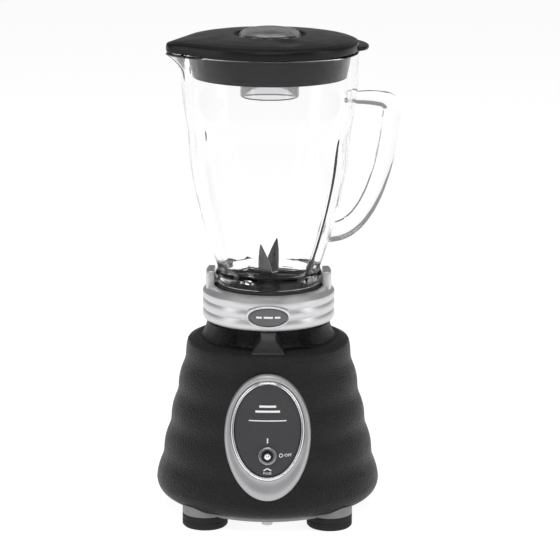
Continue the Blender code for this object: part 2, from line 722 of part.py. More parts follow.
def add_switch(chrome, black_plastic):
    """Toggle switch behind the panel, its ring nut in front and its ball-ended lever."""
    frame = switch_frame("switch_axis")
    back = -(PANEL_PROUD + PANEL_DEPTH) / math.cos(PANEL_TILT) - 1.0
    half = (SWITCH_WIDTH / 2, SWITCH_LENGTH / 2)
    low, high = (-half[0], -half[1], back - SWITCH_DEPTH), (half[0], half[1], back)
    body = block("switch_body", low, high, black_plastic, frame)
    reach = (back - 2.0, NUT_HEIGHT + 2 * GAP)
    join(body, cylinder("switch_barrel", BUSH_RADIUS, *reach, steps=MIDDLE_STEPS, parent=frame))
    reach = (LEVER_PIVOT - LEVER_PIVOT_BALL - 1.5, NUT_HEIGHT + 5 * GAP)
    cut(body, cylinder("switch_bore", BUSH_BORE, *reach, steps=MIDDLE_STEPS, parent=frame))

    tube_ring("switch_nut", BUSH_RADIUS + GAP, NUT_RADIUS, GAP, GAP + NUT_HEIGHT, chrome, MIDDLE_STEPS, frame)

    pivot = axis_empty("toggle_axis", (0.0, 0.0, LEVER_PIVOT))
    pivot.parent = frame
    lever = cylinder("toggle_lever", LEVER_RADIUS, 0.0, LEVER_REACH - LEVER_PIVOT, chrome, parent=pivot)
    join(lever, sphere("lever_ball", LEVER_BALL, (0.0, 0.0, LEVER_REACH - LEVER_PIVOT), parent=pivot))
    join(lever, sphere("lever_pivot_ball", LEVER_PIVOT_BALL, (0.0, 0.0, 0.0), parent=pivot))


def add_gland(black_plastic):
    """Bush at the back of the housing that the mains lead comes out of."""
    wall = housing_radius(GLAND_HEIGHT)
    flange_face = wall + RING_DEPTH + 1.2
    outer_face = flange_face + GLAND_FLANGE_THICKNESS
    inner_face = wall - HOUSING_WALL - 3.0
    profile = [
        (GLAND_FLANGE, outer_face),
        (GLAND_FLANGE, flange_face),
        (GLAND_RADIUS, flange_face),
        (GLAND_RADIUS, inner_face),
        (GLAND_BORE, inner_face),
        (GLAND_BORE, outer_face),
    ]
    gland = turned("cord_gland", profile, black_plastic, MIDDLE_STEPS)
    gland.matrix_basis = Matrix.Translation((0.0, 0.0, GLAND_HEIGHT * MM)) @ BACKWARD


def bracket(name, low, material):
    """Motor end bracket: a round plate with a bearing hub, four bolt holes and two cooling windows."""
    seat = BEARING_RADIUS + GAP
    hub = seat + HUB_WALL
    shelf = low + BEARING_HEIGHT + GAP
    plate_top = low + BRACKET_THICKNESS
    profile = [
        (STATOR_RADIUS, plate_top),
        (STATOR_RADIUS, low),
        (seat, low),
        (seat, shelf),
        (SHAFT_RADIUS + SHAFT_CLEARANCE, shelf),
        (SHAFT_RADIUS + SHAFT_CLEARANCE, shelf + HUB_LIP),
        (hub, shelf + HUB_LIP),
        (hub, plate_top),
    ]
    made = turned(name, profile, material, MIDDLE_STEPS)
    for i, spot in enumerate(bolt_spots(), 1):
        cut(made, cylinder(f"{name}_hole_{i}", SCREW_HOLE, low - 1.0, plate_top + 1.0, at=spot))
    for i, angle in enumerate((90, 270), 1):
        window = sector(hub + 2.0, STATOR_RADIUS - 5.0, angle, WINDOW_HALF_ANGLE)
        cut(made, slab(f"{name}_window_{i}", [window], low - 1.0, plate_top + 1.0))


def add_motor(iron, copper, cast_metal, bearing_steel, carbon, brass, black_plastic, screw_steel):
    """Universal motor: stator, coils, brackets, bearings, brushes and bolts, and its turning group."""
    pole_inner, yoke_inner = STATOR_BORE, STATOR_RADIUS - STATOR_YOKE
    bolt_holes = [circle(SCREW_HOLE, SMALL_STEPS, spot) for spot in bolt_spots()]
    bore = []
    for middle in (90, 270):
        bore += arc(pole_inner, middle - POLE_HALF_ANGLE, middle + POLE_HALF_ANGLE, 9)
        bore += arc(yoke_inner, middle + POLE_HALF_ANGLE + 1, middle + 179 - POLE_HALF_ANGLE, 9)
    slab("stator_core", [circle(STATOR_RADIUS, LARGE_STEPS), bore, *bolt_holes], CORE_BOTTOM, CORE_TOP, iron)
    for name, middle in (("field_coil_right", 0.0), ("field_coil_left", 180.0)):
        outline = sector(pole_inner + GAP, yoke_inner - GAP, middle, 90.0 - POLE_HALF_ANGLE - 3.0)
        slab(name, [outline], CORE_BOTTOM - COIL_OVERHANG, CORE_TOP + COIL_OVERHANG, copper)

    bracket("lower_bracket", LOWER_BRACKET, cast_metal)
    bracket("upper_bracket", UPPER_BRACKET, cast_metal)
    for name, low in (("lower_bearing", LOWER_BRACKET), ("upper_bearing", UPPER_BRACKET)):
        tube_ring(name, SHAFT_RADIUS + GAP, BEARING_RADIUS, low + GAP, low + BEARING_HEIGHT, bearing_steel)

    brush_middle = COMMUTATOR_BOTTOM + COMMUTATOR_LENGTH / 2
    holder_floor = LOWER_BRACKET + BRACKET_THICKNESS + GAP
    half, holder_half = BRUSH_SIDE / 2, HOLDER_SIDE / 2
    slot_half = half + GAP
    for name, side in (("right", 1), ("left", -1)):
        near = COMMUTATOR_RADIUS + GAP
        low, high = sorted((side * near, side * (near + BRUSH_LENGTH)))
        brush_box = (low, -half, brush_middle - half), (high, half, brush_middle + half)
        block(f"carbon_brush_{name}", *brush_box, carbon)
        low, high = sorted((side * (near + 3.0), side * (near + 3.0 + HOLDER_LENGTH)))
        holder_box = (low, -holder_half, holder_floor), (high, holder_half, brush_middle + holder_half)
        holder = block(f"brush_holder_{name}", *holder_box, brass)
        low, high = sorted((side * near, side * (near + BRUSH_LENGTH + 2.0)))
        slot_box = (low, -slot_half, brush_middle - slot_half), (high, slot_half, brush_middle + slot_half)
        cut(holder, block(f"brush_slot_{name}", *slot_box))

    head_low = UPPER_BRACKET + BRACKET_THICKNESS + GAP
    tip = LOWER_BRACKET - POST_HOLE_DEPTH + 3.0
    for i, spot in enumerate(bolt_spots(), 1):
        bolt = cylinder(f"motor_bolt_{i}", BOLT_RADIUS, tip, head_low + 1.0, screw_steel, spot)
        join(bolt, cylinder(f"motor_bolt_head_{i}", BOLT_HEAD_RADIUS, head_low, head_low + 3.0, at=spot))

    shaft_reach = (FAN_BOTTOM - 2.0, STUD_BOTTOM + 1.5)
    cylinder("motor_shaft", SHAFT_RADIUS, *shaft_reach, bearing_steel, steps=MIDDLE_STEPS)
    outline = []
    step = 360.0 / ROTOR_TEETH
    for i in range(ROTOR_TEETH):
        outline += arc(ROTOR_RADIUS, i * step, (i + 0.72) * step, 3)
        outline += arc(ROTOR_RADIUS - SLOT_DEPTH, (i + 0.78) * step, (i + 0.94) * step, 2)
    bore = SHAFT_RADIUS + GAP
    slab("rotor_core", [outline, circle(bore, MIDDLE_STEPS)], CORE_BOTTOM, CORE_TOP, iron)
    reach = (COMMUTATOR_BOTTOM, COMMUTATOR_BOTTOM + COMMUTATOR_LENGTH)
    tube_ring("commutator", bore, COMMUTATOR_RADIUS, *reach, copper)
    fan = tube_ring("cooling_fan", bore, FAN_RADIUS, FAN_BOTTOM, FAN_BOTTOM + 2.0, black_plastic)
    fan_top = FAN_BOTTOM + FAN_HEIGHT
    join(fan, tube_ring("fan_hub", bore, bore + 4.0, FAN_BOTTOM + 1.0, fan_top))
    for i in range(FAN_BLADES):
        low = (bore + 3.0, -FAN_BLADE_HALF, FAN_BOTTOM + 1.0)
        high = (FAN_RADIUS - 1.0, FAN_BLADE_HALF, fan_top - 1.0)
        blade = block(f"fan_blade_{i + 1}", low, high)
        blade.rotation_euler.z = math.tau * i / FAN_BLADES
        join(fan, blade)

    stud = block(
        "drive_stud",
        (-STUD_SIDE / 2, -STUD_SIDE / 2, STUD_BOTTOM),
        (STUD_SIDE / 2, STUD_SIDE / 2, HOUSING_TOP),
        bearing_steel,
    )
    flange_low, flange_top = STUD_BOTTOM - 4.0, STUD_BOTTOM + 2.0
    join(stud, cylinder("stud_flange", STUD_FLANGE, flange_low, flange_top, steps=MIDDLE_STEPS))
    cut(stud, cylinder("stud_bore", bore, flange_low - 1.0, flange_top - 0.2, steps=MIDDLE_STEPS))


def add_blade_unit(black_plastic, rubber, bearing_steel, blade_steel):
    """Threaded bottom cap, seal, blade bearing, and the turning shaft with its socket, blades and nut."""
    cap = [
        (CAP_RADIUS, CAP_TOP),
        (CAP_RADIUS, CAP_BOTTOM),
        (BLADE_FLOOR_RADIUS - 5.0, CAP_BOTTOM),
        (BLADE_FLOOR_RADIUS - 5.0, CAP_BOTTOM + CAP_LEDGE),
        (THREAD_RADIUS + GAP, CAP_BOTTOM + CAP_LEDGE),
        (THREAD_RADIUS + GAP, CAP_TOP),
    ]
    turned("jar_bottom_cap", cap, black_plastic)

    floor_radius = min(BLADE_FLOOR_RADIUS, GLASS_BORE - GAP)
    bearing = [
        (SHAFT_RADIUS + GAP, BLADE_FLOOR),
        (floor_radius - 3.0, BLADE_FLOOR),
        (floor_radius, BLADE_FLOOR - 2.0),
        (floor_radius, BEARING_BOTTOM + BEARING_FLANGE),
        (THREAD_RADIUS - GAP, BEARING_BOTTOM + BEARING_FLANGE),
        (THREAD_RADIUS - GAP, BEARING_BOTTOM),
        (SOCKET_RADIUS + 2.0, BEARING_BOTTOM),
        (SHAFT_RADIUS + GAP, BEARING_BOTTOM),
    ]
    turned("blade_bearing", bearing, black_plastic)
    reach = (SEAL_BOTTOM, SEAL_BOTTOM + SEAL_THICKNESS)
    tube_ring("sealing_ring", floor_radius + GAP, THREAD_RADIUS - GAP, *reach, rubber, LARGE_STEPS)

    socket_top = BEARING_BOTTOM - 1.0
    reach = (SOCKET_BOTTOM, socket_top)
    socket = cylinder("drive_socket", SOCKET_RADIUS, *reach, bearing_steel, steps=MIDDLE_STEPS)
    half = STUD_SIDE / 2 + SOCKET_CLEARANCE
    cut(socket, block("socket_square", (-half, -half, SOCKET_BOTTOM - 1.0), (half, half, HOUSING_TOP + 1.0)))
    bore = BLADE_SHAFT_RADIUS + GAP
    cut(socket, cylinder("socket_bore", bore, HOUSING_TOP, socket_top + 1.0, steps=MIDDLE_STEPS))
    reach = (HOUSING_TOP + 1.5, HUB_TOP)
    cylinder("blade_shaft", BLADE_SHAFT_RADIUS, *reach, bearing_steel, steps=MIDDLE_STEPS)

    lower_level = BLADE_FLOOR + SPACER_HEIGHT
    upper_level = lower_level + BLADE_THICKNESS + GAP + 0.4
    bladed("lower_blade", lower_level, LOWER_BLADE_REACH, -LOWER_BLADE_DROP, LOWER_BLADE_TURN, blade_steel)
    bladed("upper_blade", upper_level, UPPER_BLADE_REACH, UPPER_BLADE_RISE, UPPER_BLADE_TURN, blade_steel)
    reach = (BLADE_FLOOR + GAP, lower_level - GAP)
    tube_ring("blade_spacer", bore, BLADE_NUT_RADIUS, *reach, bearing_steel)
    nut_bottom = upper_level + BLADE_THICKNESS + GAP
    nut_outlines = [circle(BLADE_NUT_RADIUS, 6), circle(bore, MIDDLE_STEPS)]
    slab("blade_nut", nut_outlines, nut_bottom, HUB_TOP - 0.5, bearing_steel)


def bladed(name, level, reach, rise, angle, material):
    """A two-armed blade: a flat hub with a hole, and arms that leave it at a slope and end in a point."""
    half = BLADE_WIDTH / 2
    if rise > reach:
        arm = [(BLADE_NUT_RADIUS + 3.0, 0.0, half, 0.0), (reach, 0.45 * rise, 0.95 * half, 0.35 * half)]
        arm.append((reach + 1.0, rise, 0.5, 0.7 * half))
    else:
        arm = [(BLADE_NUT_RADIUS + 1.0, 0.0, half, 0.0), (reach - 8.0, 0.6 * rise, 0.85 * half, 0.0)]
        arm.append((reach, rise, 1.0, 0.0))
    line = [(-x, z, w, -lean) for x, z, w, lean in reversed(arm)] + arm
    mesh = bpy.data.meshes.new(name)
    shape = bmesh.new()
    rows = []
    for x, z, w, lean in line:
        rows.append([shape.verts.new(Vector((x, lean + side * w, z)) * MM) for side in (-1, 1)])
    for first, second in zip(rows, rows[1:]):
        shape.faces.new((first[0], second[0], second[1], first[1]))
    shape.to_mesh(mesh)
    shape.free()
    made = place(name, mesh, material)
    made.location.z = level * MM
    made.rotation_euler.z = math.radians(angle)
    skin = made.modifiers.new("thickness", "SOLIDIFY")
    skin.thickness = BLADE_THICKNESS * MM
    skin.offset = 1.0
    skin.use_even_offset = True
    low, high = level - 2.0, level + BLADE_THICKNESS + 2.0
    cut(made, cylinder(f"{name}_hole", BLADE_SHAFT_RADIUS + GAP, low, high, steps=MIDDLE_STEPS))


def bowl_radius(z):
    """Outer radius of the glass bowl at a height, without its spout."""
    start = BEAD_BOTTOM + BEAD_HEIGHT + 3.0
    share = min(1.0, max(0.0, (z - start) / (JAR_TOP - start)))
    curve = 1.0 - (1.0 - share) ** BOWL_POWER
    pinch = BOWL_PINCH * math.exp(-(((share - PINCH_PLACE) / PINCH_SPREAD) ** 2))
    return JAR_WAIST + (JAR_RADIUS - JAR_WAIST) * curve - pinch


def spout_bulge(z, angle):
    """How far the pouring lip draws the wall outwards, at a height and an angle from the spout in degrees."""
    share = (z - JAR_TOP + SPOUT_DEPTH) / SPOUT_DEPTH
    if share <= 0:
        return 0.0
    spread = abs(angle) / (SPOUT_HALF_ANGLE * share)
    if spread >= 1:
        return 0.0
    return SPOUT_REACH * share**2 * (1 - spread) ** 1.3


def jar_ring(z, wall, angles):
    """One horizontal ring of the jar's surface, drawn in from the outside by a wall thickness."""
    ring = []
    for angle in angles:
        from_spout = (angle % 360.0) - 180.0
        radius = bowl_radius(z) + spout_bulge(z, from_spout) - wall
        ring.append((*polar(radius, angle), z))
    return ring


def loop_loft(name, rings, material, parent=None):
    """A closed solid through rings of equal count, the last joined back to the first."""
    mesh = bpy.data.meshes.new(name)
    shape = bmesh.new()
    rows = [[shape.verts.new(Vector(point) * MM) for point in ring] for ring in rings]
    for low, high in zip(rows, rows[1:] + rows[:1]):
        pairs = zip(low, low[1:] + low[:1], high, high[1:] + high[:1])
        for a, b, c, d in pairs:
            shape.faces.new((a, b, d, c))
    bmesh.ops.recalc_face_normals(shape, faces=shape.faces)
    shape.to_mesh(mesh)
    shape.free()
    return place(name, mesh, material, parent)


def handle_route():
    """Centre line of the jar's handle and its radius at each point."""
    top = JAR_TOP - HANDLE_TOP
    foot = JAR_TOP - HANDLE_FOOT
    half = HANDLE_THICKNESS / 2
    drop = top - foot
    corner = (HANDLE_REACH, 0.0, top - 8.0)
    root = bowl_radius(foot + 4.0) - 1.0
    start = (bowl_radius(top) - 2.0, 0.0, top)
    knuckle = (HANDLE_REACH - 8.0, 0.0, top - 2.5)
    bend = (HANDLE_REACH - 2.2, 0.0, top - 4.6)
    route = [start, knuckle, bend, corner]
    radii = [0.66 * half, 0.86 * half, 0.95 * half, half]
    for i in range(1, GRIP_POINTS + 1):
        share = i / GRIP_POINTS
        turn = math.pi / 2 * share
        x = root + (HANDLE_REACH - root) * math.cos(turn) ** 0.85
        z = corner[2] - (drop - 8.0) * math.sin(turn) ** 1.15
        route.append((x, 0.0, z))
        radii.append(half * (1.0 + 0.35 * max(0.0, share - 0.7)))
    return route, radii


def add_jar(glass, frame):
    """Glass jar with its threaded foot, bead, bowl, pouring lip and handle."""
    angles = [360.0 * i / LARGE_STEPS for i in range(LARGE_STEPS)]
    spout_start = JAR_TOP - SPOUT_DEPTH
    bead_top = BEAD_BOTTOM + BEAD_HEIGHT
    foot = [
        (THREAD_RADIUS - GAP, GLASS_BOTTOM),
        (THREAD_RADIUS - GAP, BEAD_BOTTOM),
        (JAR_WAIST + BEAD_PROUD, BEAD_BOTTOM),
        (JAR_WAIST + BEAD_PROUD, bead_top - 2.0),
    ]
    rings = [[(*polar(radius, a), z) for a in angles] for radius, z in foot]
    bowl_bottom = bead_top + 3.0
    bowl_step = (spout_start - bowl_bottom) / (BOWL_RINGS - 1)
    bowl_heights = [bowl_bottom + bowl_step * i for i in range(BOWL_RINGS)]
    lip_heights = [spout_start + SPOUT_DEPTH * share for share in (0.35, 0.6, 0.8, 1.0)]
    rings += [jar_ring(z, 0.0, angles) for z in bowl_heights + lip_heights]
    rings += [jar_ring(z, JAR_WALL, angles) for z in reversed(bowl_heights[2:] + lip_heights)]
    bore = [(GLASS_BORE + 1.5, bead_top + 2.0), (GLASS_BORE, bead_top - 4.0), (GLASS_BORE, GLASS_BOTTOM)]
    rings += [[(*polar(radius, a), z) for a in angles] for radius, z in bore]
    jar = loop_loft("glass_jar", rings, glass, frame)
    route, radii = handle_route()
    handle = rod("handle_bar", route, radii, parent=frame)
    join(jar, handle)
    hollow = [(bowl_radius(z) - JAR_WALL, z) for z in reversed(bowl_heights[2:])]
    hollow_top = (hollow[0][0], JAR_TOP - 12.0)
    hollow = [(0.0, hollow_top[1]), hollow_top] + hollow + [(0.0, hollow[-1][1])]
    cut(jar, turned("bowl_hollow", hollow, steps=LARGE_STEPS, parent=frame))


def teardrop(radius, tip_reach, tip_round, count=LARGE_STEPS):
    """Outline of a circle drawn out to a rounded tip on the -X side."""
    tip_centre = -(radius + tip_reach - tip_round)
    lean = math.degrees(math.acos((radius - tip_round) / -tip_centre))
    body = arc(radius, -180.0 + lean, 180.0 - lean, count)
    return body + arc(tip_round, 180.0 - lean, 180.0 + lean, 9, (tip_centre, 0.0))


def add_lid(lid_black, clear_plastic, frame):
    """Lid with its spout cover, plug, lift tab and filler sleeve, and the domed filler cap."""
    plug_top = JAR_RADIUS - JAR_WALL - PLUG_TOP_CLEARANCE
    plug_bottom = plug_top - PLUG_TAPER
    plug_low = LID_BOTTOM - PLUG_DEPTH
    inner = plug_bottom - PLUG_WALL
    sleeve = CUP_BORE + 2.6
    shelf = LID_TOP + 1.2
    profile = [
        (JAR_RADIUS - 1.5, LID_TOP - 1.0),
        (JAR_RADIUS - 4.0, LID_TOP),
        (JAR_RADIUS - 16.0, LID_TOP + 0.6 * LID_CROWN),
        (sleeve + 4.0, LID_TOP + LID_CROWN),
        (sleeve + 1.5, LID_TOP + LID_CROWN),
        (sleeve + 0.5, shelf),
        (CUP_BORE, shelf),
        (CUP_BORE, shelf - CUP_SLEEVE),
        (sleeve, shelf - CUP_SLEEVE),
        (sleeve, LID_TOP - LID_SKIN),
        (inner, LID_TOP - LID_SKIN),
        (inner, plug_low),
        (plug_bottom, plug_low),
        (plug_top, LID_BOTTOM),
        (JAR_RADIUS - 1.5, LID_BOTTOM),
    ]
    lid = turned("lid", profile, lid_black, parent=frame)
    clear_of_plug = circle(plug_top - 0.8, LARGE_STEPS)
    brim_outline = teardrop(JAR_RADIUS, LID_TIP_REACH, LID_TIP_ROUND)
    brim = slab("lid_brim", [brim_outline, clear_of_plug], LID_BOTTOM, LID_TOP - 0.5, parent=frame)
    join(lid, brim)
    tab_centre = JAR_RADIUS - 7.0
    tab_outline = [
        (tab_centre + (TAB_REACH + 7.0) * x, TAB_HALF_WIDTH * y)
        for x, y in arc(1.0, -100.0, 100.0, 15)
    ]
    join(lid, slab("lid_tab", [tab_outline], LID_BOTTOM, LID_BOTTOM + TAB_THICKNESS, parent=frame))

    flange = shelf + GAP
    dome_top = flange + CUP_FLANGE + CUP_DOME
    cup_low = flange - CUP_DEPTH
    cup = [
        (0.0, dome_top),
        (0.35 * CUP_RADIUS, dome_top - 0.08 * CUP_DOME),
        (0.68 * CUP_RADIUS, dome_top - 0.4 * CUP_DOME),
        (CUP_RADIUS + 0.6, flange + CUP_FLANGE),
        (CUP_RADIUS + 1.8, flange + 0.6 * CUP_FLANGE),
        (CUP_RADIUS + 1.8, flange),
        (CUP_RADIUS, flange),
        (CUP_RADIUS - 0.6, cup_low),
        (CUP_RADIUS - 0.6 - CUP_WALL, cup_low),
        (CUP_RADIUS - CUP_WALL, flange - 1.0),
        (0.6 * CUP_RADIUS, dome_top - CUP_DOME + 0.6),
        (0.0, dome_top - CUP_WALL),
    ]
    turned("filler_cap", cup, clear_plastic, MIDDLE_STEPS, frame)


def build():
    """Builds every piece of the blender."""
    crinkle_black = finish("crinkle_black_paint", (0.018, 0.018, 0.019), 0.62)
    satin_silver = finish("satin_silver", (0.62, 0.62, 0.63), 0.34, 1.0)
    bright_trim = finish("bright_trim", (0.8, 0.8, 0.81), 0.16, 1.0)
    panel_gloss = finish("panel_gloss", (0.045, 0.045, 0.048), 0.18)
    badge_grey = finish("badge_grey", (0.1, 0.1, 0.105), 0.35)
    chrome = finish("chrome", (0.85, 0.85, 0.86), 0.08, 1.0)
    black_plastic = finish("black_plastic", (0.02, 0.02, 0.021), 0.45)
    rubber = finish("black_rubber", (0.015, 0.015, 0.015), 0.8)
    base_grey = finish("base_grey", (0.22, 0.22, 0.225), 0.5)
    lid_black = finish("lid_black", (0.02, 0.02, 0.021), 0.38)
    glass = finish("clear_glass", (1.0, 1.0, 1.0), 0.02, 0.0, 1.0)
    clear_plastic = finish("clear_plastic", (0.9, 0.9, 0.9), 0.06, 0.0, 0.95)
    blade_steel = finish("blade_steel", (0.34, 0.34, 0.35), 0.28, 1.0)
    bearing_steel = finish("bearing_steel", (0.55, 0.55, 0.56), 0.3, 1.0)
    screw_steel = finish("screw_steel", (0.5, 0.5, 0.5), 0.35, 1.0)
    iron = finish("laminated_iron", (0.2, 0.2, 0.21), 0.5, 1.0)
    copper = finish("copper_winding", (0.72, 0.32, 0.14), 0.35, 1.0)
    cast_metal = finish("cast_metal", (0.45, 0.45, 0.46), 0.5, 1.0)
    carbon = finish("carbon", (0.03, 0.03, 0.03), 0.7)
    brass = finish("brass", (0.75, 0.58, 0.25), 0.3, 1.0)

    add_base_plate(base_grey, rubber, screw_steel)
    add_housing(crinkle_black)
    add_collar(satin_silver, badge_grey)
    add_front_panel(satin_silver, bright_trim, panel_gloss)
    add_switch(chrome, black_plastic)
    add_gland(black_plastic)
    add_motor(iron, copper, cast_metal, bearing_steel, carbon, brass, black_plastic, screw_steel)
    add_blade_unit(black_plastic, rubber, bearing_steel, blade_steel)
    jar_frame = axis_empty("jar_axis", (0.0, 0.0, 0.0), (0.0, 0.0, math.radians(JAR_TURN)))
    add_jar(glass, jar_frame)
    add_lid(lid_black, clear_plastic, jar_frame)


build()
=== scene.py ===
"""Countertop blender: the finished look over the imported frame.

A ringed black motor base, a silver collar with an oval badge, a control panel with a toggle
switch, a pressed glass jar with its blades, and a black lid with a clear filler cap, in a plain
bright studio. Lengths are in millimetres, Z is up and the front is -Y. Each mesh is made in
metres where its CAD node stands. Tables of points give (radius, height) pairs, bottom first
unless they say otherwise.
"""

from __future__ import annotations

import logging
import math
from collections.abc import Callable, Iterable, Sequence
from dataclasses import dataclass
from enum import Enum

import bpy
from mathutils import Matrix, Vector


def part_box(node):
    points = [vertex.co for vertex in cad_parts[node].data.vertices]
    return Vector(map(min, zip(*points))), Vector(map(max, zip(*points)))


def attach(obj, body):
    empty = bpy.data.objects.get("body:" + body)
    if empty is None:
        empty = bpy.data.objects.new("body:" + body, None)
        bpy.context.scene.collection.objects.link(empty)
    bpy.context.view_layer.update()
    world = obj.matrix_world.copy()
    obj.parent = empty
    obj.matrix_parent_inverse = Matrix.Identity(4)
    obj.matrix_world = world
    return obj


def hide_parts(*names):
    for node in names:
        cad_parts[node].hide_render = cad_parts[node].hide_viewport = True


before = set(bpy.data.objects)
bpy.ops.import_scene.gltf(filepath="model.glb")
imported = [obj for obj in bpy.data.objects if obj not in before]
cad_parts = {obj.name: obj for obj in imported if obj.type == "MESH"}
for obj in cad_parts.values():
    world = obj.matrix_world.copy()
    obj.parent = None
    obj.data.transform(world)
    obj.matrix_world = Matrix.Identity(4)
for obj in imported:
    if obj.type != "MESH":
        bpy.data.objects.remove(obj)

LOG = logging.getLogger("countertop_blender")
MM = 0.001  # metres in a millimetre
WELD = 1e-6  # metres: vertices closer than this are merged
ROUND_STEPS = 128  # segments round a large turned piece
SMALL_STEPS = 40  # segments round a small one
QUARTER = math.pi / 2
SECTION_POWER = 3.2  # how square a swept bar's section is
CORNER_SHARE = 0.45  # the most of a side that a rounded corner takes
COAT_ROUGHNESS = 0.12

Point = tuple[float, float]
Colour = tuple[float, float, float]


# ---------------------------------------------------------------- modelling


def only(piece: bpy.types.Object | None) -> None:
    """Leaves object mode active and just this piece selected, or nothing.

    Args:
        piece: the piece to select, or None.
    """
    if bpy.context.object and bpy.context.object.mode != "OBJECT":
        bpy.ops.object.mode_set(mode="OBJECT")
    bpy.ops.object.select_all(action="DESELECT")
    if piece:
        piece.select_set(True)
        bpy.context.view_layer.objects.active = piece


def new_piece(name: str) -> bpy.types.Object:
    """Names the primitive just added, puts its place in its mesh and opens it for editing.

    Args:
        name: name of the piece.

    Returns:
        The piece, in edit mode with every vertex selected.
    """
    piece = bpy.context.object
    piece.name = name
    piece.data.name = name
    bpy.ops.object.transform_apply(location=True, rotation=True, scale=True)
    bpy.ops.object.mode_set(mode="EDIT")
    bpy.ops.mesh.select_mode(type="VERT")
    bpy.ops.mesh.select_all(action="SELECT")
    return piece


def weld() -> None:
    """Merges the doubles of the piece being edited and leaves all of it selected."""
    bpy.ops.mesh.select_all(action="SELECT")
    bpy.ops.mesh.remove_doubles(threshold=WELD)
    bpy.ops.mesh.select_all(action="SELECT")


def close_up(piece: bpy.types.Object) -> bpy.types.Object:
    """Welds the piece being edited, turns its faces outwards and leaves edit mode.

    Args:
        piece: the piece, in edit mode.

    Returns:
        The piece, in object mode.
    """
    weld()
    bpy.ops.mesh.normals_make_consistent(inside=False)
    bpy.ops.object.mode_set(mode="OBJECT")
    return piece


def moved(piece: bpy.types.Object, matrix: Matrix) -> bpy.types.Object:
    """Leaves edit mode and moves the piece inside its own mesh.

    Args:
        piece: the piece, in either mode.
        matrix: the move, in metres.

    Returns:
        The piece, in object mode.
    """
    only(piece)
    piece.data.transform(matrix)
    return piece


def about_z(degrees: float) -> Matrix:
    """A turn about the upright axis."""
    return Matrix.Rotation(math.radians(degrees), 4, "Z")


def draw(name: str, points: Sequence[Sequence[float]]) -> bpy.types.Object:
    """Draws a line by extruding one vertex from point to point, and leaves it open for editing.

    Args:
        name: name of the piece.
        points: the line's points.

    Returns:
        The piece, in edit mode.
    """
    only(None)
    bpy.ops.mesh.primitive_plane_add(size=MM, location=Vector(points[0]) * MM)
    piece = new_piece(name)
    bpy.ops.mesh.merge(type="CENTER")
    for start, end in zip(points, points[1:]):
        step = (Vector(end) - Vector(start)) * MM
        bpy.ops.mesh.extrude_region_move(TRANSFORM_OT_translate={"value": step})
    return piece


def turned(name: str, profile: Sequence[Point], steps: int = ROUND_STEPS) -> bpy.types.Object:
    """Spins a profile about the Z axis.

    Args:
        name: name of the piece.
        profile: (radius, height) pairs, either off the axis all along or with both ends on it.
        steps: how many segments go round.

    Returns:
        The closed piece, in object mode.
    """
    outline = [(radius, 0.0, height) for radius, height in profile]
    if min(radius for radius, _ in profile) > 0:
        outline.append(outline[0])
    piece = draw(name, outline)
    weld()
    bpy.ops.mesh.spin(steps=steps, angle=math.tau, center=(0, 0, 0), axis=(0, 0, 1))
    return close_up(piece)


def drum(
    name: str,
    radius: float,
    low: float,
    high: float,
    at: Point = (0.0, 0.0),
    steps: int = SMALL_STEPS,
) -> bpy.types.Object:
    """Adds an upright cylinder between two heights and leaves it open for editing.

    Args:
        name: name of the piece.
        radius: its radius.
        low: height of its lower end.
        high: height of its upper end.
        at: its axis in plan.
        steps: how many segments go round.

    Returns:
        The piece, in edit mode.
    """
    only(None)
    centre = Vector((at[0], at[1], (low + high) / 2)) * MM
    bpy.ops.mesh.primitive_cylinder_add(
        vertices=steps, radius=radius * MM, depth=(high - low) * MM, location=centre
    )
    return new_piece(name)


def pick_faces(piece: bpy.types.Object, chosen: Callable[[Vector, Vector], bool]) -> None:
    """Selects the faces for which the test of centre and normal holds, in edit mode.

    Args:
        piece: the piece being edited.
        chosen: test of a face's centre, in millimetres, and its normal.
    """
    bpy.ops.mesh.select_all(action="DESELECT")
    bpy.ops.mesh.select_mode(type="FACE")
    bpy.ops.object.mode_set(mode="OBJECT")
    for face in piece.data.polygons:
        face.select = chosen(face.center / MM, face.normal)
    bpy.ops.object.mode_set(mode="EDIT")


def apply(piece: bpy.types.Object, kind: str, **settings: object) -> bpy.types.Object:
    """Adds a modifier with these settings and applies it.

    Args:
        piece: the piece.
        kind: the modifier's type.
        settings: its attributes.

    Returns:
        The piece, in object mode.
    """
    only(piece)
    modifier = piece.modifiers.new(kind.lower(), kind)
    for key, value in settings.items():
        setattr(modifier, key, value)
    bpy.ops.object.modifier_apply(modifier=modifier.name)
    return piece


def soften(
    piece: bpy.types.Object, width: float, segments: int = 3, sharper_than: float = 35.0
) -> bpy.types.Object:
    """Rounds the piece's sharp edges.

    Args:
        piece: the piece.
        width: how wide each rounding is.
        segments: how many facets a rounding has.
        sharper_than: angle in degrees past which an edge is rounded.

    Returns:
        The piece, in object mode.
    """
    settings = {"width": width * MM, "segments": segments, "limit_method": "ANGLE"}
    return apply(piece, "BEVEL", angle_limit=math.radians(sharper_than), **settings)


def combine(piece: bpy.types.Object, tool: bpy.types.Object, operation: str) -> bpy.types.Object:
    """Applies a Boolean of the piece with a tool, and removes the tool.

    Args:
        piece: the piece that is kept.
        tool: the piece that is used up.
        operation: DIFFERENCE or UNION.

    Returns:
        The piece, in object mode.
    """
    apply(piece, "BOOLEAN", operation=operation, object=tool, solver="EXACT")
    bpy.data.objects.remove(tool, do_unlink=True)
    return piece


def joined(name: str, pieces: Sequence[bpy.types.Object]) -> bpy.types.Object:
    """Joins pieces into the first and renames it.

    Args:
        name: name of the whole.
        pieces: the pieces, the first of which is kept.

    Returns:
        The whole, in object mode.
    """
    only(pieces[0])
    for piece in pieces:
        piece.select_set(True)
    bpy.ops.object.join()
    pieces[0].name = name
    return pieces[0]


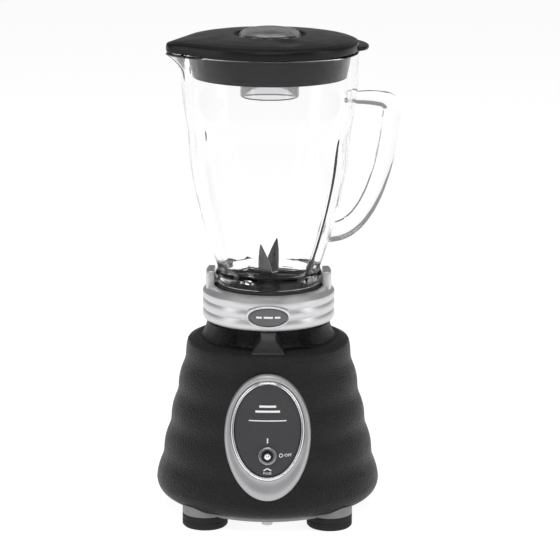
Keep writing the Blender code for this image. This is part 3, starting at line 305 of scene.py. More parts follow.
def copied(piece: bpy.types.Object, matrix: Matrix) -> bpy.types.Object:
    """A copy with its own mesh, moved by a matrix inside the mesh.

    Args:
        piece: the piece to copy.
        matrix: the move, in metres.

    Returns:
        The copy.
    """
    twin = piece.copy()
    twin.data = piece.data.copy()
    twin.data.transform(matrix)
    bpy.context.scene.collection.objects.link(twin)
    return twin


def ringed(name: str, piece: bpy.types.Object, count: int) -> bpy.types.Object:
    """The piece repeated evenly round the Z axis, as one object.

    Args:
        name: name of the whole.
        piece: the piece to repeat.
        count: how many there are.

    Returns:
        The whole, in object mode.
    """
    twins = [copied(piece, about_z(360.0 * i / count)) for i in range(1, count)]
    return joined(name, [piece, *twins])


def arc(
    radius: float, start: float, end: float, count: int, centre: Point = (0.0, 0.0)
) -> list[Point]:
    """Points on an arc between two angles in degrees, both ends included.

    Args:
        radius: the arc's radius.
        start: its first angle.
        end: its last angle.
        count: how many points it has.
        centre: its centre.

    Returns:
        The points in order.
    """
    turns = [math.radians(start + (end - start) * i / (count - 1)) for i in range(count)]
    return [(centre[0] + radius * math.cos(t), centre[1] + radius * math.sin(t)) for t in turns]


def eased(
    points: Sequence[Point], reach: float, closed: bool = True, count: int = 4
) -> list[Point]:
    """Replaces each corner of an outline by a short curve.

    Args:
        points: the outline's corners.
        reach: how far from a corner its curve starts, where the sides are long enough.
        closed: whether the last point joins the first.
        count: how many spans each curve has.

    Returns:
        The rounded outline.
    """
    made: list[Point] = []
    last = len(points) - 1
    for i, point in enumerate(points):
        if not closed and i in (0, last):
            made.append(point)
            continue
        here = Vector(point)
        before = Vector(points[i - 1]) - here
        after = Vector(points[(i + 1) % len(points)]) - here
        start = here + before.normalized() * min(reach, CORNER_SHARE * before.length)
        end = here + after.normalized() * min(reach, CORNER_SHARE * after.length)
        for j in range(count + 1):
            share = j / count
            mixed = start * (1 - share) ** 2 + here * 2 * share * (1 - share) + end * share**2
            made.append((mixed.x, mixed.y))
    return made


def smooth_step(share: float) -> float:
    """Eases a share from 0 to 1, held at both ends."""
    share = min(1.0, max(0.0, share))
    return share * share * (3 - 2 * share)


def mix(start: float, end: float, share: float) -> float:
    """The value a share of the way from start to end."""
    return start + (end - start) * share


def pulled(piece: bpy.types.Object, move: Callable[[Vector], Vector]) -> bpy.types.Object:
    """Moves every vertex, given and returned in millimetres.

    Args:
        piece: the piece.
        move: gives a vertex's new place from its old one.

    Returns:
        The piece.
    """
    for vertex in piece.data.vertices:
        vertex.co = move(vertex.co / MM) * MM
    piece.data.update()
    return piece


@dataclass(frozen=True)
class Oval:
    """A section of an oval ring: half sizes, its centre's drop, and how far it stands proud."""

    half_width: float
    half_height: float
    drop: float
    proud: float


def oval_loft(
    name: str, height: float, sections: Sequence[Oval], filled: bool, steps: int = 96
) -> bpy.types.Object:
    """Extrudes an oval through sections, as a closed ring or as a disc that ends at its middle.

    Args:
        name: name of the piece.
        height: height of the ovals' centre.
        sections: the ovals in order, from the back outwards and inwards.
        filled: whether the last oval closes into a point instead of meeting the first.
        steps: how many segments go round.

    Returns:
        The piece in object mode, flat in the XZ plane with proud along -Y.
    """
    first = sections[0]
    middle = Vector((0.0, -first.proud, height - first.drop)) * MM
    only(None)
    bpy.ops.mesh.primitive_circle_add(
        vertices=steps, radius=first.half_width * MM, location=middle, rotation=(QUARTER, 0.0, 0.0)
    )
    piece = new_piece(name)
    stretch = (1.0, 1.0, first.half_height / first.half_width)
    bpy.ops.transform.resize(value=stretch, center_override=middle)
    route = list(sections) if filled else [*sections, first]
    for before, after in zip(route, route[1:]):
        step = Vector((0.0, before.proud - after.proud, before.drop - after.drop)) * MM
        bpy.ops.mesh.extrude_region_move(TRANSFORM_OT_translate={"value": step})
        ratio = (after.half_width / before.half_width, 1.0, after.half_height / before.half_height)
        centre = Vector((0.0, -after.proud, height - after.drop)) * MM
        bpy.ops.transform.resize(value=ratio, center_override=centre)
    if filled:
        bpy.ops.mesh.merge(type="CENTER")
        bpy.ops.mesh.select_all(action="SELECT")
        bpy.ops.mesh.select_non_manifold()
        bpy.ops.mesh.edge_face_add()
    return close_up(piece)


def wrapped(piece: bpy.types.Object, radius_at: Callable[[float], float]) -> bpy.types.Object:
    """Bends a flat front piece round a body whose radius depends on height.

    Args:
        piece: the piece, flat in the XZ plane with proud along -Y.
        radius_at: the body's radius at a height.

    Returns:
        The piece.
    """

    def bend(point: Vector) -> Vector:
        """Lays a point of the flat piece on the round body.

        Args:
            point: a vertex of the flat piece.

        Returns:
            Its new place.
        """
        radius = radius_at(point.z) - point.y
        return Vector((point.x, -math.sqrt(radius**2 - point.x**2), point.z))

    return pulled(piece, bend)


def swept(name: str, route: Sequence[Vector], radii: Sequence[float]) -> bpy.types.Object:
    """A bar of rounded square section along a smooth route.

    Args:
        name: name of the piece.
        route: points of the centre line.
        radii: half thickness at each point.

    Returns:
        The closed bar as a mesh in object mode.
    """
    section = bpy.data.curves.new("section", "CURVE")
    ring = section.splines.new("POLY")
    ring.points.add(SMALL_STEPS - 1)
    ring.use_cyclic_u = True
    for i, point in enumerate(ring.points):
        turn = math.tau * i / SMALL_STEPS
        along, up = math.cos(turn), math.sin(turn)
        size = MM * (abs(along) ** SECTION_POWER + abs(up) ** SECTION_POWER) ** (-1 / SECTION_POWER)
        point.co = (along * size, up * size, 0.0, 1.0)
    outline = bpy.data.objects.new("section", section)
    bpy.context.scene.collection.objects.link(outline)
    curve = bpy.data.curves.new(name, "CURVE")
    curve.dimensions = "3D"
    curve.bevel_mode = "OBJECT"
    curve.bevel_object = outline
    curve.resolution_u = 8
    curve.use_fill_caps = True
    spline = curve.splines.new("BEZIER")
    spline.bezier_points.add(len(route) - 1)
    for point, place, radius in zip(spline.bezier_points, route, radii):
        point.co = place * MM
        point.radius = radius
        point.handle_left_type = "AUTO"
        point.handle_right_type = "AUTO"
    bar = bpy.data.objects.new(name, curve)
    bpy.context.scene.collection.objects.link(bar)
    only(bar)
    bpy.ops.object.convert(target="MESH")
    bar = bpy.context.object
    bpy.data.objects.remove(outline, do_unlink=True)
    bpy.ops.object.mode_set(mode="EDIT")
    return close_up(bar)


def block(name: str, centre: Vector, size: Sequence[float], cuts: int) -> bpy.types.Object:
    """A box with its faces cut into squares, so that it can be bent.

    Args:
        name: name of the piece.
        centre: its middle.
        size: its three sides.
        cuts: how many cuts cross each face.

    Returns:
        The box in object mode.
    """
    only(None)
    bpy.ops.mesh.primitive_cube_add(size=MM, location=centre * MM)
    piece = new_piece(name)
    bpy.ops.transform.resize(value=size, center_override=centre * MM)
    bpy.ops.mesh.subdivide(number_cuts=cuts)
    return close_up(piece)


# ---------------------------------------------------------------- finishes


class Texture(Enum):
    """The relief that a finish carries."""

    CRINKLE = "crinkled paint"
    SATIN = "bead-blasted metal"
    TURNED = "turned metal"
    MOULDED = "moulded plastic"
    LACQUER = "smooth lacquer"
    RUBBER = "moulded rubber"
    PRESSED = "pressed glass"
    LAYERED = "stacked sheets"
    WOUND = "wound wire"


def add_node(
    tree: bpy.types.NodeTree,
    kind: str,
    values: dict[str | int, object] | None = None,
    **settings: object,
) -> bpy.types.Node:
    """Adds a shader node to a tree.

    Args:
        tree: the tree.
        kind: the node's type, after its ShaderNode prefix.
        values: first values of its inputs.
        settings: its attributes, such as its operation.

    Returns:
        The new node.
    """
    node = tree.nodes.new(f"ShaderNode{kind}")
    for key, value in settings.items():
        setattr(node, key, value)
    fill(node, values or {})
    return node


def fill(node: bpy.types.Node, values: dict[str | int, object]) -> None:
    """Sets the values of a node's inputs.

    Args:
        node: the node.
        values: socket name or number to its value.
    """
    for socket, value in values.items():
        node.inputs[socket].default_value = value


class Groups:
    """The shader node groups that the finishes share."""

    SPECK_SHARE = 0.4  # how much of the tone's pattern is fine specks
    BROAD_SCALE = 45.0  # cells in a metre of the grain's waviness
    WARP_SCALE = 700.0  # cells in a metre of the shift of the crinkle's islands
    WARP = 0.0012  # metres of that shift

    @staticmethod
    def start(
        name: str, inputs: dict[str, tuple[str, object]], outputs: dict[str, str]
    ) -> tuple[bpy.types.NodeTree, bpy.types.Node, bpy.types.Node]:
        """Makes an empty group with its sockets.

        Args:
            name: name of the group.
            inputs: socket name to its type and first value.
            outputs: socket name to its type.

        Returns:
            The group's tree, its input node and its output node.
        """
        tree = bpy.data.node_groups.new(name, "ShaderNodeTree")
        for label, (kind, value) in inputs.items():
            socket = tree.interface.new_socket(label, in_out="INPUT", socket_type=kind)
            socket.default_value = value
        for label, kind in outputs.items():
            tree.interface.new_socket(label, in_out="OUTPUT", socket_type=kind)
        return tree, tree.nodes.new("NodeGroupInput"), tree.nodes.new("NodeGroupOutput")

    @classmethod
    def tone(cls) -> bpy.types.NodeTree:
        """Mottled colour: light and dark clouds with a few fine specks, and the cloud as a mask.

        Returns:
            The group, built once.
        """
        if found := bpy.data.node_groups.get("tone_variation"):
            return found
        tree, given, out = cls.start(
            "tone_variation",
            {
                "Colour": ("NodeSocketColor", (0.5, 0.5, 0.5, 1.0)),
                "Cloud Scale": ("NodeSocketFloat", 60.0),
                "Speck Scale": ("NodeSocketFloat", 1500.0),
                "Amount": ("NodeSocketFloat", 0.2),
            },
            {"Colour": "NodeSocketColor", "Mask": "NodeSocketFloat"},
        )
        link = tree.links.new
        where = add_node(tree, "TexCoord").outputs["Object"]
        cloud = add_node(tree, "TexNoise", {"Detail": 5.0})
        speck = add_node(tree, "TexNoise", {"Detail": 2.0})
        for noise, label in ((cloud, "Cloud Scale"), (speck, "Speck Scale")):
            link(where, noise.inputs["Vector"])
            link(given.outputs[label], noise.inputs["Scale"])
        blend = add_node(tree, "Math", {1: 1.0 - cls.SPECK_SHARE}, operation="MULTIPLY_ADD")
        share = add_node(tree, "Math", {1: cls.SPECK_SHARE}, operation="MULTIPLY")
        link(cloud.outputs["Fac"], blend.inputs[0])
        link(speck.outputs["Fac"], share.inputs[0])
        link(share.outputs[0], blend.inputs[2])
        limits = {"From Min": 0.3, "From Max": 0.7, "To Min": -1.0, "To Max": 1.0}
        swing = add_node(tree, "MapRange", limits)
        link(blend.outputs[0], swing.inputs["Value"])
        factor = add_node(tree, "Math", {2: 1.0}, operation="MULTIPLY_ADD")
        link(swing.outputs["Result"], factor.inputs[0])
        link(given.outputs["Amount"], factor.inputs[1])
        tint = add_node(tree, "VectorMath", operation="SCALE")
        link(given.outputs["Colour"], tint.inputs[0])
        link(factor.outputs[0], tint.inputs["Scale"])
        link(tint.outputs["Vector"], out.inputs["Colour"])
        link(blend.outputs[0], out.inputs["Mask"])
        return tree

    @classmethod
    def grain(cls) -> bpy.types.NodeTree:
        """Fine even grain with a broader waviness, as a height.

        Returns:
            The group, built once.
        """
        if found := bpy.data.node_groups.get("grain_relief"):
            return found
        tree, given, out = cls.start(
            "grain_relief",
            {"Scale": ("NodeSocketFloat", 1500.0), "Waviness": ("NodeSocketFloat", 0.3)},
            {"Height": "NodeSocketFloat"},
        )
        link = tree.links.new
        where = add_node(tree, "TexCoord").outputs["Object"]
        fine = add_node(tree, "TexNoise", {"Detail": 3.0})
        broad = add_node(tree, "TexNoise", {"Scale": cls.BROAD_SCALE, "Detail": 1.0})
        link(where, fine.inputs["Vector"])
        link(where, broad.inputs["Vector"])
        link(given.outputs["Scale"], fine.inputs["Scale"])
        total = add_node(tree, "Math", operation="MULTIPLY_ADD")
        link(broad.outputs["Fac"], total.inputs[0])
        link(given.outputs["Waviness"], total.inputs[1])
        link(fine.outputs["Fac"], total.inputs[2])
        link(total.outputs[0], out.inputs["Height"])
        return tree

    @classmethod
    def crinkle(cls) -> bpy.types.NodeTree:
        """Shrunk paint: rounded islands between fine creases, as a height.

        Returns:
            The group, built once.
        """
        if found := bpy.data.node_groups.get("crinkle_relief"):
            return found
        tree, given, out = cls.start(
            "crinkle_relief", {"Scale": ("NodeSocketFloat", 900.0)}, {"Height": "NodeSocketFloat"}
        )
        link = tree.links.new
        where = add_node(tree, "TexCoord").outputs["Object"]
        warp = add_node(tree, "TexNoise", {"Scale": cls.WARP_SCALE, "Detail": 2.0})
        shift = add_node(tree, "VectorMath", operation="MULTIPLY_ADD")
        fill(shift, {1: (cls.WARP, cls.WARP, cls.WARP)})
        link(where, warp.inputs["Vector"])
        link(warp.outputs["Color"], shift.inputs[0])
        link(where, shift.inputs[2])
        cells = add_node(tree, "TexVoronoi", feature="SMOOTH_F1")
        fill(cells, {"Smoothness": 0.6})
        link(shift.outputs["Vector"], cells.inputs["Vector"])
        link(given.outputs["Scale"], cells.inputs["Scale"])
        fine = add_node(tree, "TexNoise", {"Detail": 4.0})
        link(where, fine.inputs["Vector"])
        link(given.outputs["Scale"], fine.inputs["Scale"])
        total = add_node(tree, "Math", operation="SUBTRACT")
        link(fine.outputs["Fac"], total.inputs[0])
        link(cells.outputs["Distance"], total.inputs[1])
        link(total.outputs[0], out.inputs["Height"])
        return tree

    @classmethod
    def rings(cls) -> bpy.types.NodeTree:
        """Fine lines round the Z axis, as a lathe or a stack leaves them, as a height.

        Returns:
            The group, built once.
        """
        if found := bpy.data.node_groups.get("ring_relief"):
            return found
        tree, given, out = cls.start(
            "ring_relief",
            {"Scale": ("NodeSocketFloat", 1500.0), "Across": ("NodeSocketFloat", 1.0)},
            {"Height": "NodeSocketFloat"},
        )
        link = tree.links.new
        split = add_node(tree, "SeparateXYZ")
        link(add_node(tree, "TexCoord").outputs["Object"], split.inputs["Vector"])
        flat = add_node(tree, "CombineXYZ")
        link(split.outputs["X"], flat.inputs["X"])
        link(split.outputs["Y"], flat.inputs["Y"])
        reach = add_node(tree, "VectorMath", operation="LENGTH")
        link(flat.outputs["Vector"], reach.inputs[0])
        across = add_node(tree, "Math", operation="MULTIPLY")
        link(reach.outputs["Value"], across.inputs[0])
        link(given.outputs["Across"], across.inputs[1])
        lines = add_node(tree, "CombineXYZ")
        link(across.outputs[0], lines.inputs["X"])
        link(split.outputs["Z"], lines.inputs["Z"])
        noise = add_node(tree, "TexNoise", {"Detail": 4.0})
        link(lines.outputs["Vector"], noise.inputs["Vector"])
        link(given.outputs["Scale"], noise.inputs["Scale"])
        link(noise.outputs["Fac"], out.inputs["Height"])
        return tree


@dataclass(frozen=True)
class Finish:
    """One finish: its colour and gloss, and the texture that varies them."""

    name: str
    colour: Colour
    roughness: float
    texture: Texture
    metallic: float = 0.0
    swing: float = 0.06  # of roughness, either way
    tone: float = 0.15  # of colour, either way
    grain: float = 0.6  # size of the relief's cells
    relief: float = 0.02  # height of the relief
    waviness: float = 0.3  # share of broad waves in the relief
    specular: float = 0.5
    coat: float = 0.0
    clear: float = 0.0  # transmission
    index: float = 1.5  # of refraction
    tint: float = 1.0  # of the specular reflection

    def material(self) -> bpy.types.Material:
        """The material of this finish, built once.

        Returns:
            The material, under the finish's own name.
        """
        if found := bpy.data.materials.get(f"finish_{self.name}"):
            return found
        made = bpy.data.materials.new(f"finish_{self.name}")
        made.use_nodes = True
        tree = made.node_tree
        shader = tree.nodes["Principled BSDF"]
        fill(
            shader,
            {
                "Metallic": self.metallic,
                "Specular IOR Level": self.specular,
                "Specular Tint": (self.tint, self.tint, self.tint, 1.0),
                "IOR": self.index,
                "Coat Weight": self.coat,
                "Coat Roughness": COAT_ROUGHNESS,
                "Transmission Weight": self.clear,
            },
        )
        tone = add_node(tree, "Group", node_tree=Groups.tone())
        fill(
            tone,
            {
                "Colour": (*self.colour, 1.0),
                "Amount": self.tone,
                "Speck Scale": 1 / (self.grain * MM),
            },
        )
        gloss = add_node(
            tree,
            "MapRange",
            {
                "From Min": 0.35,
                "From Max": 0.65,
                "To Min": max(0.0, self.roughness - self.swing),
                "To Max": self.roughness + self.swing,
            },
        )
        bump = add_node(tree, "Bump", {"Strength": 1.0, "Distance": self.relief * MM})
        for start, end in (
            (tone.outputs["Colour"], shader.inputs["Base Color"]),
            (tone.outputs["Mask"], gloss.inputs["Value"]),
            (gloss.outputs["Result"], shader.inputs["Roughness"]),
            (self.height(tree), bump.inputs["Height"]),
            (bump.outputs["Normal"], shader.inputs["Normal"]),
        ):
            tree.links.new(start, end)
        return made

    def height(self, tree: bpy.types.NodeTree) -> bpy.types.NodeSocket:
        """The texture's height in this material's tree.

        Args:
            tree: the material's tree.

        Returns:
            The socket that gives the height.
        """
        node = tree.nodes.new("ShaderNodeGroup")
        if self.texture is Texture.CRINKLE:
            node.node_tree = Groups.crinkle()
        elif self.texture in (Texture.TURNED, Texture.LAYERED, Texture.WOUND):
            node.node_tree = Groups.rings()
            node.inputs["Across"].default_value = 1.0 if self.texture is Texture.TURNED else 0.0
        else:
            node.node_tree = Groups.grain()
            node.inputs["Waviness"].default_value = self.waviness
        node.inputs["Scale"].default_value = 1 / (self.grain * MM)
        return node.outputs["Height"]


CRINKLE_BLACK = Finish(
    "crinkle_black_paint", (0.008, 0.008, 0.009), 0.42, Texture.CRINKLE, grain=1.3, relief=0.6,
    specular=0.24, tone=0.5,
)
SATIN_SILVER = Finish(
    "satin_silver", (0.64, 0.64, 0.65), 0.38, Texture.SATIN, metallic=0.8, grain=0.35, relief=0.008,
    tone=0.05,
)
BEZEL_SILVER = Finish(
    "bezel_silver", (0.46, 0.46, 0.47), 0.42, Texture.SATIN, metallic=0.9, grain=0.35, relief=0.008,
    tone=0.05,
)
BRIGHT_TRIM = Finish(
    "bright_trim", (0.78, 0.78, 0.79), 0.24, Texture.SATIN, metallic=1.0, swing=0.03, relief=0.002,
    tone=0.03,
)
PANEL_GLOSS = Finish(
    "panel_gloss", (0.05, 0.05, 0.053), 0.24, Texture.LACQUER, swing=0.03, relief=0.002, tone=0.08,
    coat=0.5,
)
BADGE_GREY = Finish(
    "badge_grey", (0.13, 0.13, 0.135), 0.34, Texture.SATIN, metallic=0.6, relief=0.006
)
NUT_STEEL = Finish("nut_steel", (0.3, 0.3, 0.31), 0.26, Texture.TURNED, metallic=1.0, relief=0.006)
CHROME = Finish(
    "chrome", (0.86, 0.86, 0.87), 0.07, Texture.TURNED, metallic=1.0, swing=0.03, relief=0.001,
    tone=0.03,
)
BLACK_PLASTIC = Finish("black_plastic", (0.018, 0.018, 0.019), 0.42, Texture.MOULDED, specular=0.35)
BLACK_RUBBER = Finish(
    "black_rubber", (0.014, 0.014, 0.014), 0.72, Texture.RUBBER, relief=0.05, specular=0.3
)
BASE_GREY = Finish("base_grey", (0.2, 0.2, 0.205), 0.5, Texture.MOULDED, relief=0.03)
LID_BLACK = Finish(
    "lid_black", (0.007, 0.007, 0.008), 0.3, Texture.MOULDED, grain=0.4, relief=0.01, specular=0.18
)
CLEAR_GLASS = Finish(
    "clear_glass", (0.985, 0.988, 0.987), 0.0, Texture.PRESSED, swing=0.0, tone=0.0, grain=40.0,
    relief=0.12, waviness=1.0, clear=1.0, index=1.5, tint=0.3,
)
CLEAR_PLASTIC = Finish(
    "clear_plastic", (0.86, 0.86, 0.87), 0.05, Texture.PRESSED, swing=0.02, tone=0.02, grain=25.0,
    relief=0.02, clear=1.0, index=1.46,
)
BLADE_STEEL = Finish(
    "blade_steel", (0.1, 0.1, 0.105), 0.3, Texture.TURNED, metallic=1.0, relief=0.006
)
BEARING_STEEL = Finish(
    "bearing_steel", (0.5, 0.5, 0.51), 0.26, Texture.TURNED, metallic=1.0, relief=0.006
)
SCREW_STEEL = Finish(
    "screw_steel", (0.5, 0.5, 0.5), 0.32, Texture.SATIN, metallic=1.0, relief=0.006
)
LAMINATED_IRON = Finish(
    "laminated_iron", (0.2, 0.2, 0.21), 0.5, Texture.LAYERED, metallic=1.0, grain=0.8, relief=0.12
)
COPPER_WINDING = Finish(
    "copper_winding", (0.42, 0.16, 0.06), 0.3, Texture.WOUND, metallic=1.0, grain=1.4, relief=0.3
)
CAST_METAL = Finish(
    "cast_metal", (0.42, 0.42, 0.43), 0.55, Texture.SATIN, metallic=1.0, grain=0.9, relief=0.05
)
CARBON = Finish("carbon", (0.03, 0.03, 0.03), 0.6, Texture.MOULDED, relief=0.03)
BRASS = Finish("brass", (0.66, 0.46, 0.18), 0.28, Texture.SATIN, metallic=1.0, relief=0.006)
PRINT_WHITE = Finish(
    "print_white", (0.88, 0.88, 0.88), 0.5, Texture.LACQUER, relief=0.002, tone=0.06
)


def dress(piece: bpy.types.Object, finish: Finish, angle: float = 35.0) -> bpy.types.Object:
    """Gives a new piece its finish and smooth shading.

    Args:
        piece: the piece, in object mode.
        finish: its finish.
        angle: edges sharper than this many degrees stay sharp.

    Returns:
        The same piece.
    """
    piece.data.materials.clear()
    piece.data.materials.append(finish.material())
    only(piece)
    bpy.ops.object.shade_smooth_by_angle(angle=math.radians(angle))
    return piece


def seat(piece: bpy.types.Object, body: str, slot: str, *nodes: str) -> bpy.types.Object:
    """Rides the piece on its body and hides the CAD nodes it stands for.

    Args:
        piece: the piece.
        body: the body that it moves with.
        slot: name of its material slot; not used.
        nodes: CAD nodes that it stands for.

    Returns:
        The piece.
    """
    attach(piece, body)
    if nodes:
        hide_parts(*nodes)
    LOG.info("%s rides on %s, %d faces", piece.name, body, len(piece.data.polygons))
    return piece


def redress(finish: Finish, nodes: Iterable[str]) -> None:
    """Gives CAD nodes that stay visible their detailed finish.

    Args:
        finish: the finish.
        nodes: names of the nodes.
    """
    for node in nodes:
        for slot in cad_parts[node].material_slots:
            slot.material = finish.material()
        LOG.info("%s keeps its CAD shape", node)


@dataclass(frozen=True)
class Span:
    """A CAD node's widest radius and its heights at rest."""

    radius: float
    low: float
    high: float

    @classmethod
    def of(cls, node: str) -> Span:
        """The span of a node, in millimetres.

        Args:
            node: name of the CAD node.

        Returns:
            Its span.
        """
        low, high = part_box(node)
        return cls((high.x - low.x) / 2 / MM, low.z / MM, high.z / MM)


# ---------------------------------------------------------------- motor base


@dataclass
class MotorBase:
    """The ringed housing with its neck, and the base plate, feet and cord gland."""

    base_radius: float = 88.8
    shoulder_radius: float = 63.6
    skirt_round: float = 12.0
    shoulder_drop: float = 18.6
    ring_pitch: float = 26.3
    ring_depth: float = 0.7
    first_ring: float = 18.3
    wall: float = 3.6
    neck_radius: float = 38.0
    throat: float = 16.0
    dish_radius: float = 56.0
    dish_share: float = 0.23  # height of the dish's edge, as a share of the shoulder's drop
    side_rows: int = 84
    opening_half_width: float = 26.6
    opening_half_height: float = 35.5
    opening_height: float = 85.4
    leg_radius: float = 48.5
    leg_start: float = 0.6
    rib_width: float = 12.6
    rib_flare: float = 1.15
    foot_spacing: float = 98.0
    lobe_radius: float = 17.9
    plate_hole: float = 6.0
    plate_thickness: float = 3.5
    gland_height: float = 36.0
    gland_flange: float = 9.0
    gland_radius: float = 6.0
    gland_bore: float = 3.7

    def __post_init__(self) -> None:
        """Takes the heights from the CAD nodes."""
        housing = Span.of("motor_housing")
        self.bottom = housing.low
        self.top = housing.high
        self.widest = self.bottom + self.skirt_round
        self.shoulder = self.top - self.shoulder_drop
        self.dish = self.shoulder + self.dish_share * self.shoulder_drop

    def taper(self, height: float) -> float:
        """Radius of the straight taper at a height.

        Args:
            height: the height.

        Returns:
            The radius.
        """
        share = (height - self.widest) / (self.shoulder - self.widest)
        return mix(self.base_radius, self.shoulder_radius, share)

    def skin(self, height: float) -> float:
        """Radius of the ringed side at a height: broad crests with tighter valleys.

        Args:
            height: the height.

        Returns:
            The radius.
        """
        turn = math.tau * (height - self.bottom - self.first_ring) / self.ring_pitch
        return self.taper(height) + self.ring_depth * (math.cos(turn) - 0.1 * math.cos(2 * turn))

    def side(self) -> list[Point]:
        """Outer profile from the bottom edge to the shoulder.

        Returns:
            The profile's points, upwards.
        """
        centre = (self.base_radius - self.skirt_round, self.widest)
        skirt = arc(self.skirt_round, -86.0, -6.0, 12, centre)
        shares = [row / self.side_rows for row in range(self.side_rows + 1)]
        heights = [mix(self.widest, self.shoulder, share) for share in shares]
        return skirt + [(self.skin(height), height) for height in heights]

    def housing(self) -> None:
        """Turns the housing, opens it behind the panel and at the gland, and adds the neck ribs."""
        crown = [
            (self.shoulder_radius - 0.4, self.shoulder + 1.5),
            (self.shoulder_radius - 2.4, self.shoulder + 0.13 * self.shoulder_drop),
            (self.dish_radius + 1.5, self.dish),
            (self.dish_radius - 2.0, self.dish),
            (self.neck_radius + 2.0, self.dish - 3.0),
            (self.neck_radius + 0.6, self.dish + 1.0),
            (self.neck_radius, self.dish + 5.0),
            (self.neck_radius, self.dish + 9.5),
            (self.neck_radius, self.top),
            (self.throat, self.top),
            (self.throat, self.top - self.wall),
        ]
        inside = [
            (self.neck_radius - self.wall, self.top - self.wall),
            (self.neck_radius - self.wall, self.dish - 3.0 - self.wall),
            (self.shoulder_radius - 2 * self.wall, self.shoulder - 1.0),
            (self.base_radius - self.wall, self.widest),
            (self.base_radius - self.skirt_round - self.wall, self.bottom + 0.3),
        ]
        profile = self.side() + eased(crown, 2.4, closed=False) + inside
        body = pulled(turned("motor_housing_shell", profile, 180), self.saddled)
        combine(body, self.panel_opening(), "DIFFERENCE")
        lead = drum("lead_opening", self.gland_radius + 0.3, 70.0, 100.0)
        combine(body, moved(lead, self.gland_place()), "DIFFERENCE")
        dress(body, CRINKLE_BLACK, 40.0)
        seat(body, "base", "crinkle_black_paint", "motor_housing")
        seat(dress(self.ribs(), BLACK_PLASTIC), "base", "black_plastic")

    def saddled(self, point: Vector) -> Vector:
        """Widens the neck on the left and right into two broad legs that flare to the shoulder.

        Args:
            point: a vertex of the turned housing.

        Returns:
            Its new place.
        """
        radius = math.hypot(point.x, point.y)
        if point.z < self.dish - 3.5 or radius < self.neck_radius - 0.1:
            return point
        sideways = smooth_step((abs(point.x) / radius - self.leg_start) / 0.24)
        fall = max(0.0, (self.top - point.z) / (self.top - self.dish))
        leg = mix(self.neck_radius, self.leg_radius + 4.5 * fall**2, sideways)
        grown = max(radius, leg) / radius
        return Vector((point.x * grown, point.y * grown, point.z))

    def panel_opening(self) -> bpy.types.Object:
        """A straight oval bar through the front wall, where the control panel sits.

        Returns:
            The bar, a tool for the opening.
        """
        depth = 70.0
        centre = Vector((0.0, -75.0, self.opening_height)) * MM
        only(None)
        bpy.ops.mesh.primitive_cylinder_add(
            vertices=96,
            radius=self.opening_half_width * MM,
            depth=depth * MM,
            location=centre,
            rotation=(QUARTER, 0.0, 0.0),
        )
        bar = new_piece("panel_opening")
        stretch = (1.0, 1.0, self.opening_half_height / self.opening_half_width)
        bpy.ops.transform.resize(value=stretch, center_override=centre)
        return close_up(bar)

    def gland_place(self) -> Matrix:
        """The place of the gland, whose upright axis is laid down towards the back.

        Returns:
            The place, in metres.
        """
        raised = Matrix.Translation((0, 0, self.gland_height * MM))
        return raised @ Matrix.Rotation(-QUARTER, 4, "X")

    def ribs(self) -> bpy.types.Object:
        """Two smooth legs, front and back, that spread out from the collar to the shoulder.

        Returns:
            Both legs as one piece.
        """
        outline = [
            (self.neck_radius - 3.0, self.top - 0.3),
            (49.0, self.top - 0.3),
            (50.2, self.top - 3.0),
            (52.6, self.top - 7.0),
            (57.5, self.dish + 1.4),
            (60.6, self.dish - 0.6),
            (60.9, self.dish - 2.6),
            (self.neck_radius - 3.0, self.dish - 4.0),
        ]
        rounded = eased(outline, 1.6)
        points = [(radius, -self.rib_width / 2, height) for radius, height in rounded]
        rib = draw("neck_ribs", [*points, points[0]])
        weld()
        bpy.ops.mesh.edge_face_add()
        slices = 6
        for _ in range(slices):
            step = (0.0, self.rib_width / slices * MM, 0.0)
            bpy.ops.mesh.extrude_region_move(TRANSFORM_OT_translate={"value": step})
        close_up(rib)

        def flare(point: Vector) -> Vector:
            """Narrows the leg's middle and spreads its foot and, a little, its head.

            Args:
                point: a vertex of the straight leg.

            Returns:
                Its new place.
            """
            share = (self.top - point.z) / (self.top - self.dish)
            foot = self.rib_flare * smooth_step(share - 0.1) ** 2
            spread = 0.86 + foot + 0.3 * smooth_step(0.5 - share)
            return Vector((point.x, point.y * spread, point.z))

        pulled(rib, flare)
        soften(rib, 2.2, 5)
        return ringed("neck_ribs", moved(rib, about_z(90.0)), 2)

    def base_plate(self) -> None:
        """The plate's rim, and a lobe over each foot, cut where the housing's skirt comes down."""
        span = Span.of("base_plate")
        rim = self.base_radius - self.skirt_round - 0.6
        upper = span.low + self.plate_thickness
        profile = [
            (rim, upper),
            (rim - 2.0, span.low),
            (self.plate_hole, span.low),
            (self.plate_hole, upper),
        ]
        plate = turned("base_plate_rim", eased(profile, 0.8))
        envelope = [(0.0, self.bottom - 0.2), *[(r + 0.3, z - 0.2) for r, z in self.side()[:20]]]
        envelope.append((0.0, envelope[-1][1]))
        half = self.foot_spacing / 2
        spots = [(x * half, y * half) for x in (-1, 1) for y in (-1, 1)]
        lobes = []
        for number, spot in enumerate(spots, 1):
            low, high = span.low + 0.2, span.low + 8.8
            lobe = drum(f"lobe_{number}", self.lobe_radius, low, high, spot, 64)
            bpy.ops.object.mode_set(mode="OBJECT")
            soften(lobe, 1.2)
            lobes.append(combine(lobe, turned("skirt_space", envelope, 96), "DIFFERENCE"))
        whole = dress(joined("base_plate_rim", [plate, *lobes]), BASE_GREY)
        seat(whole, "base", "base_grey", "base_plate")
        self.feet(spots)

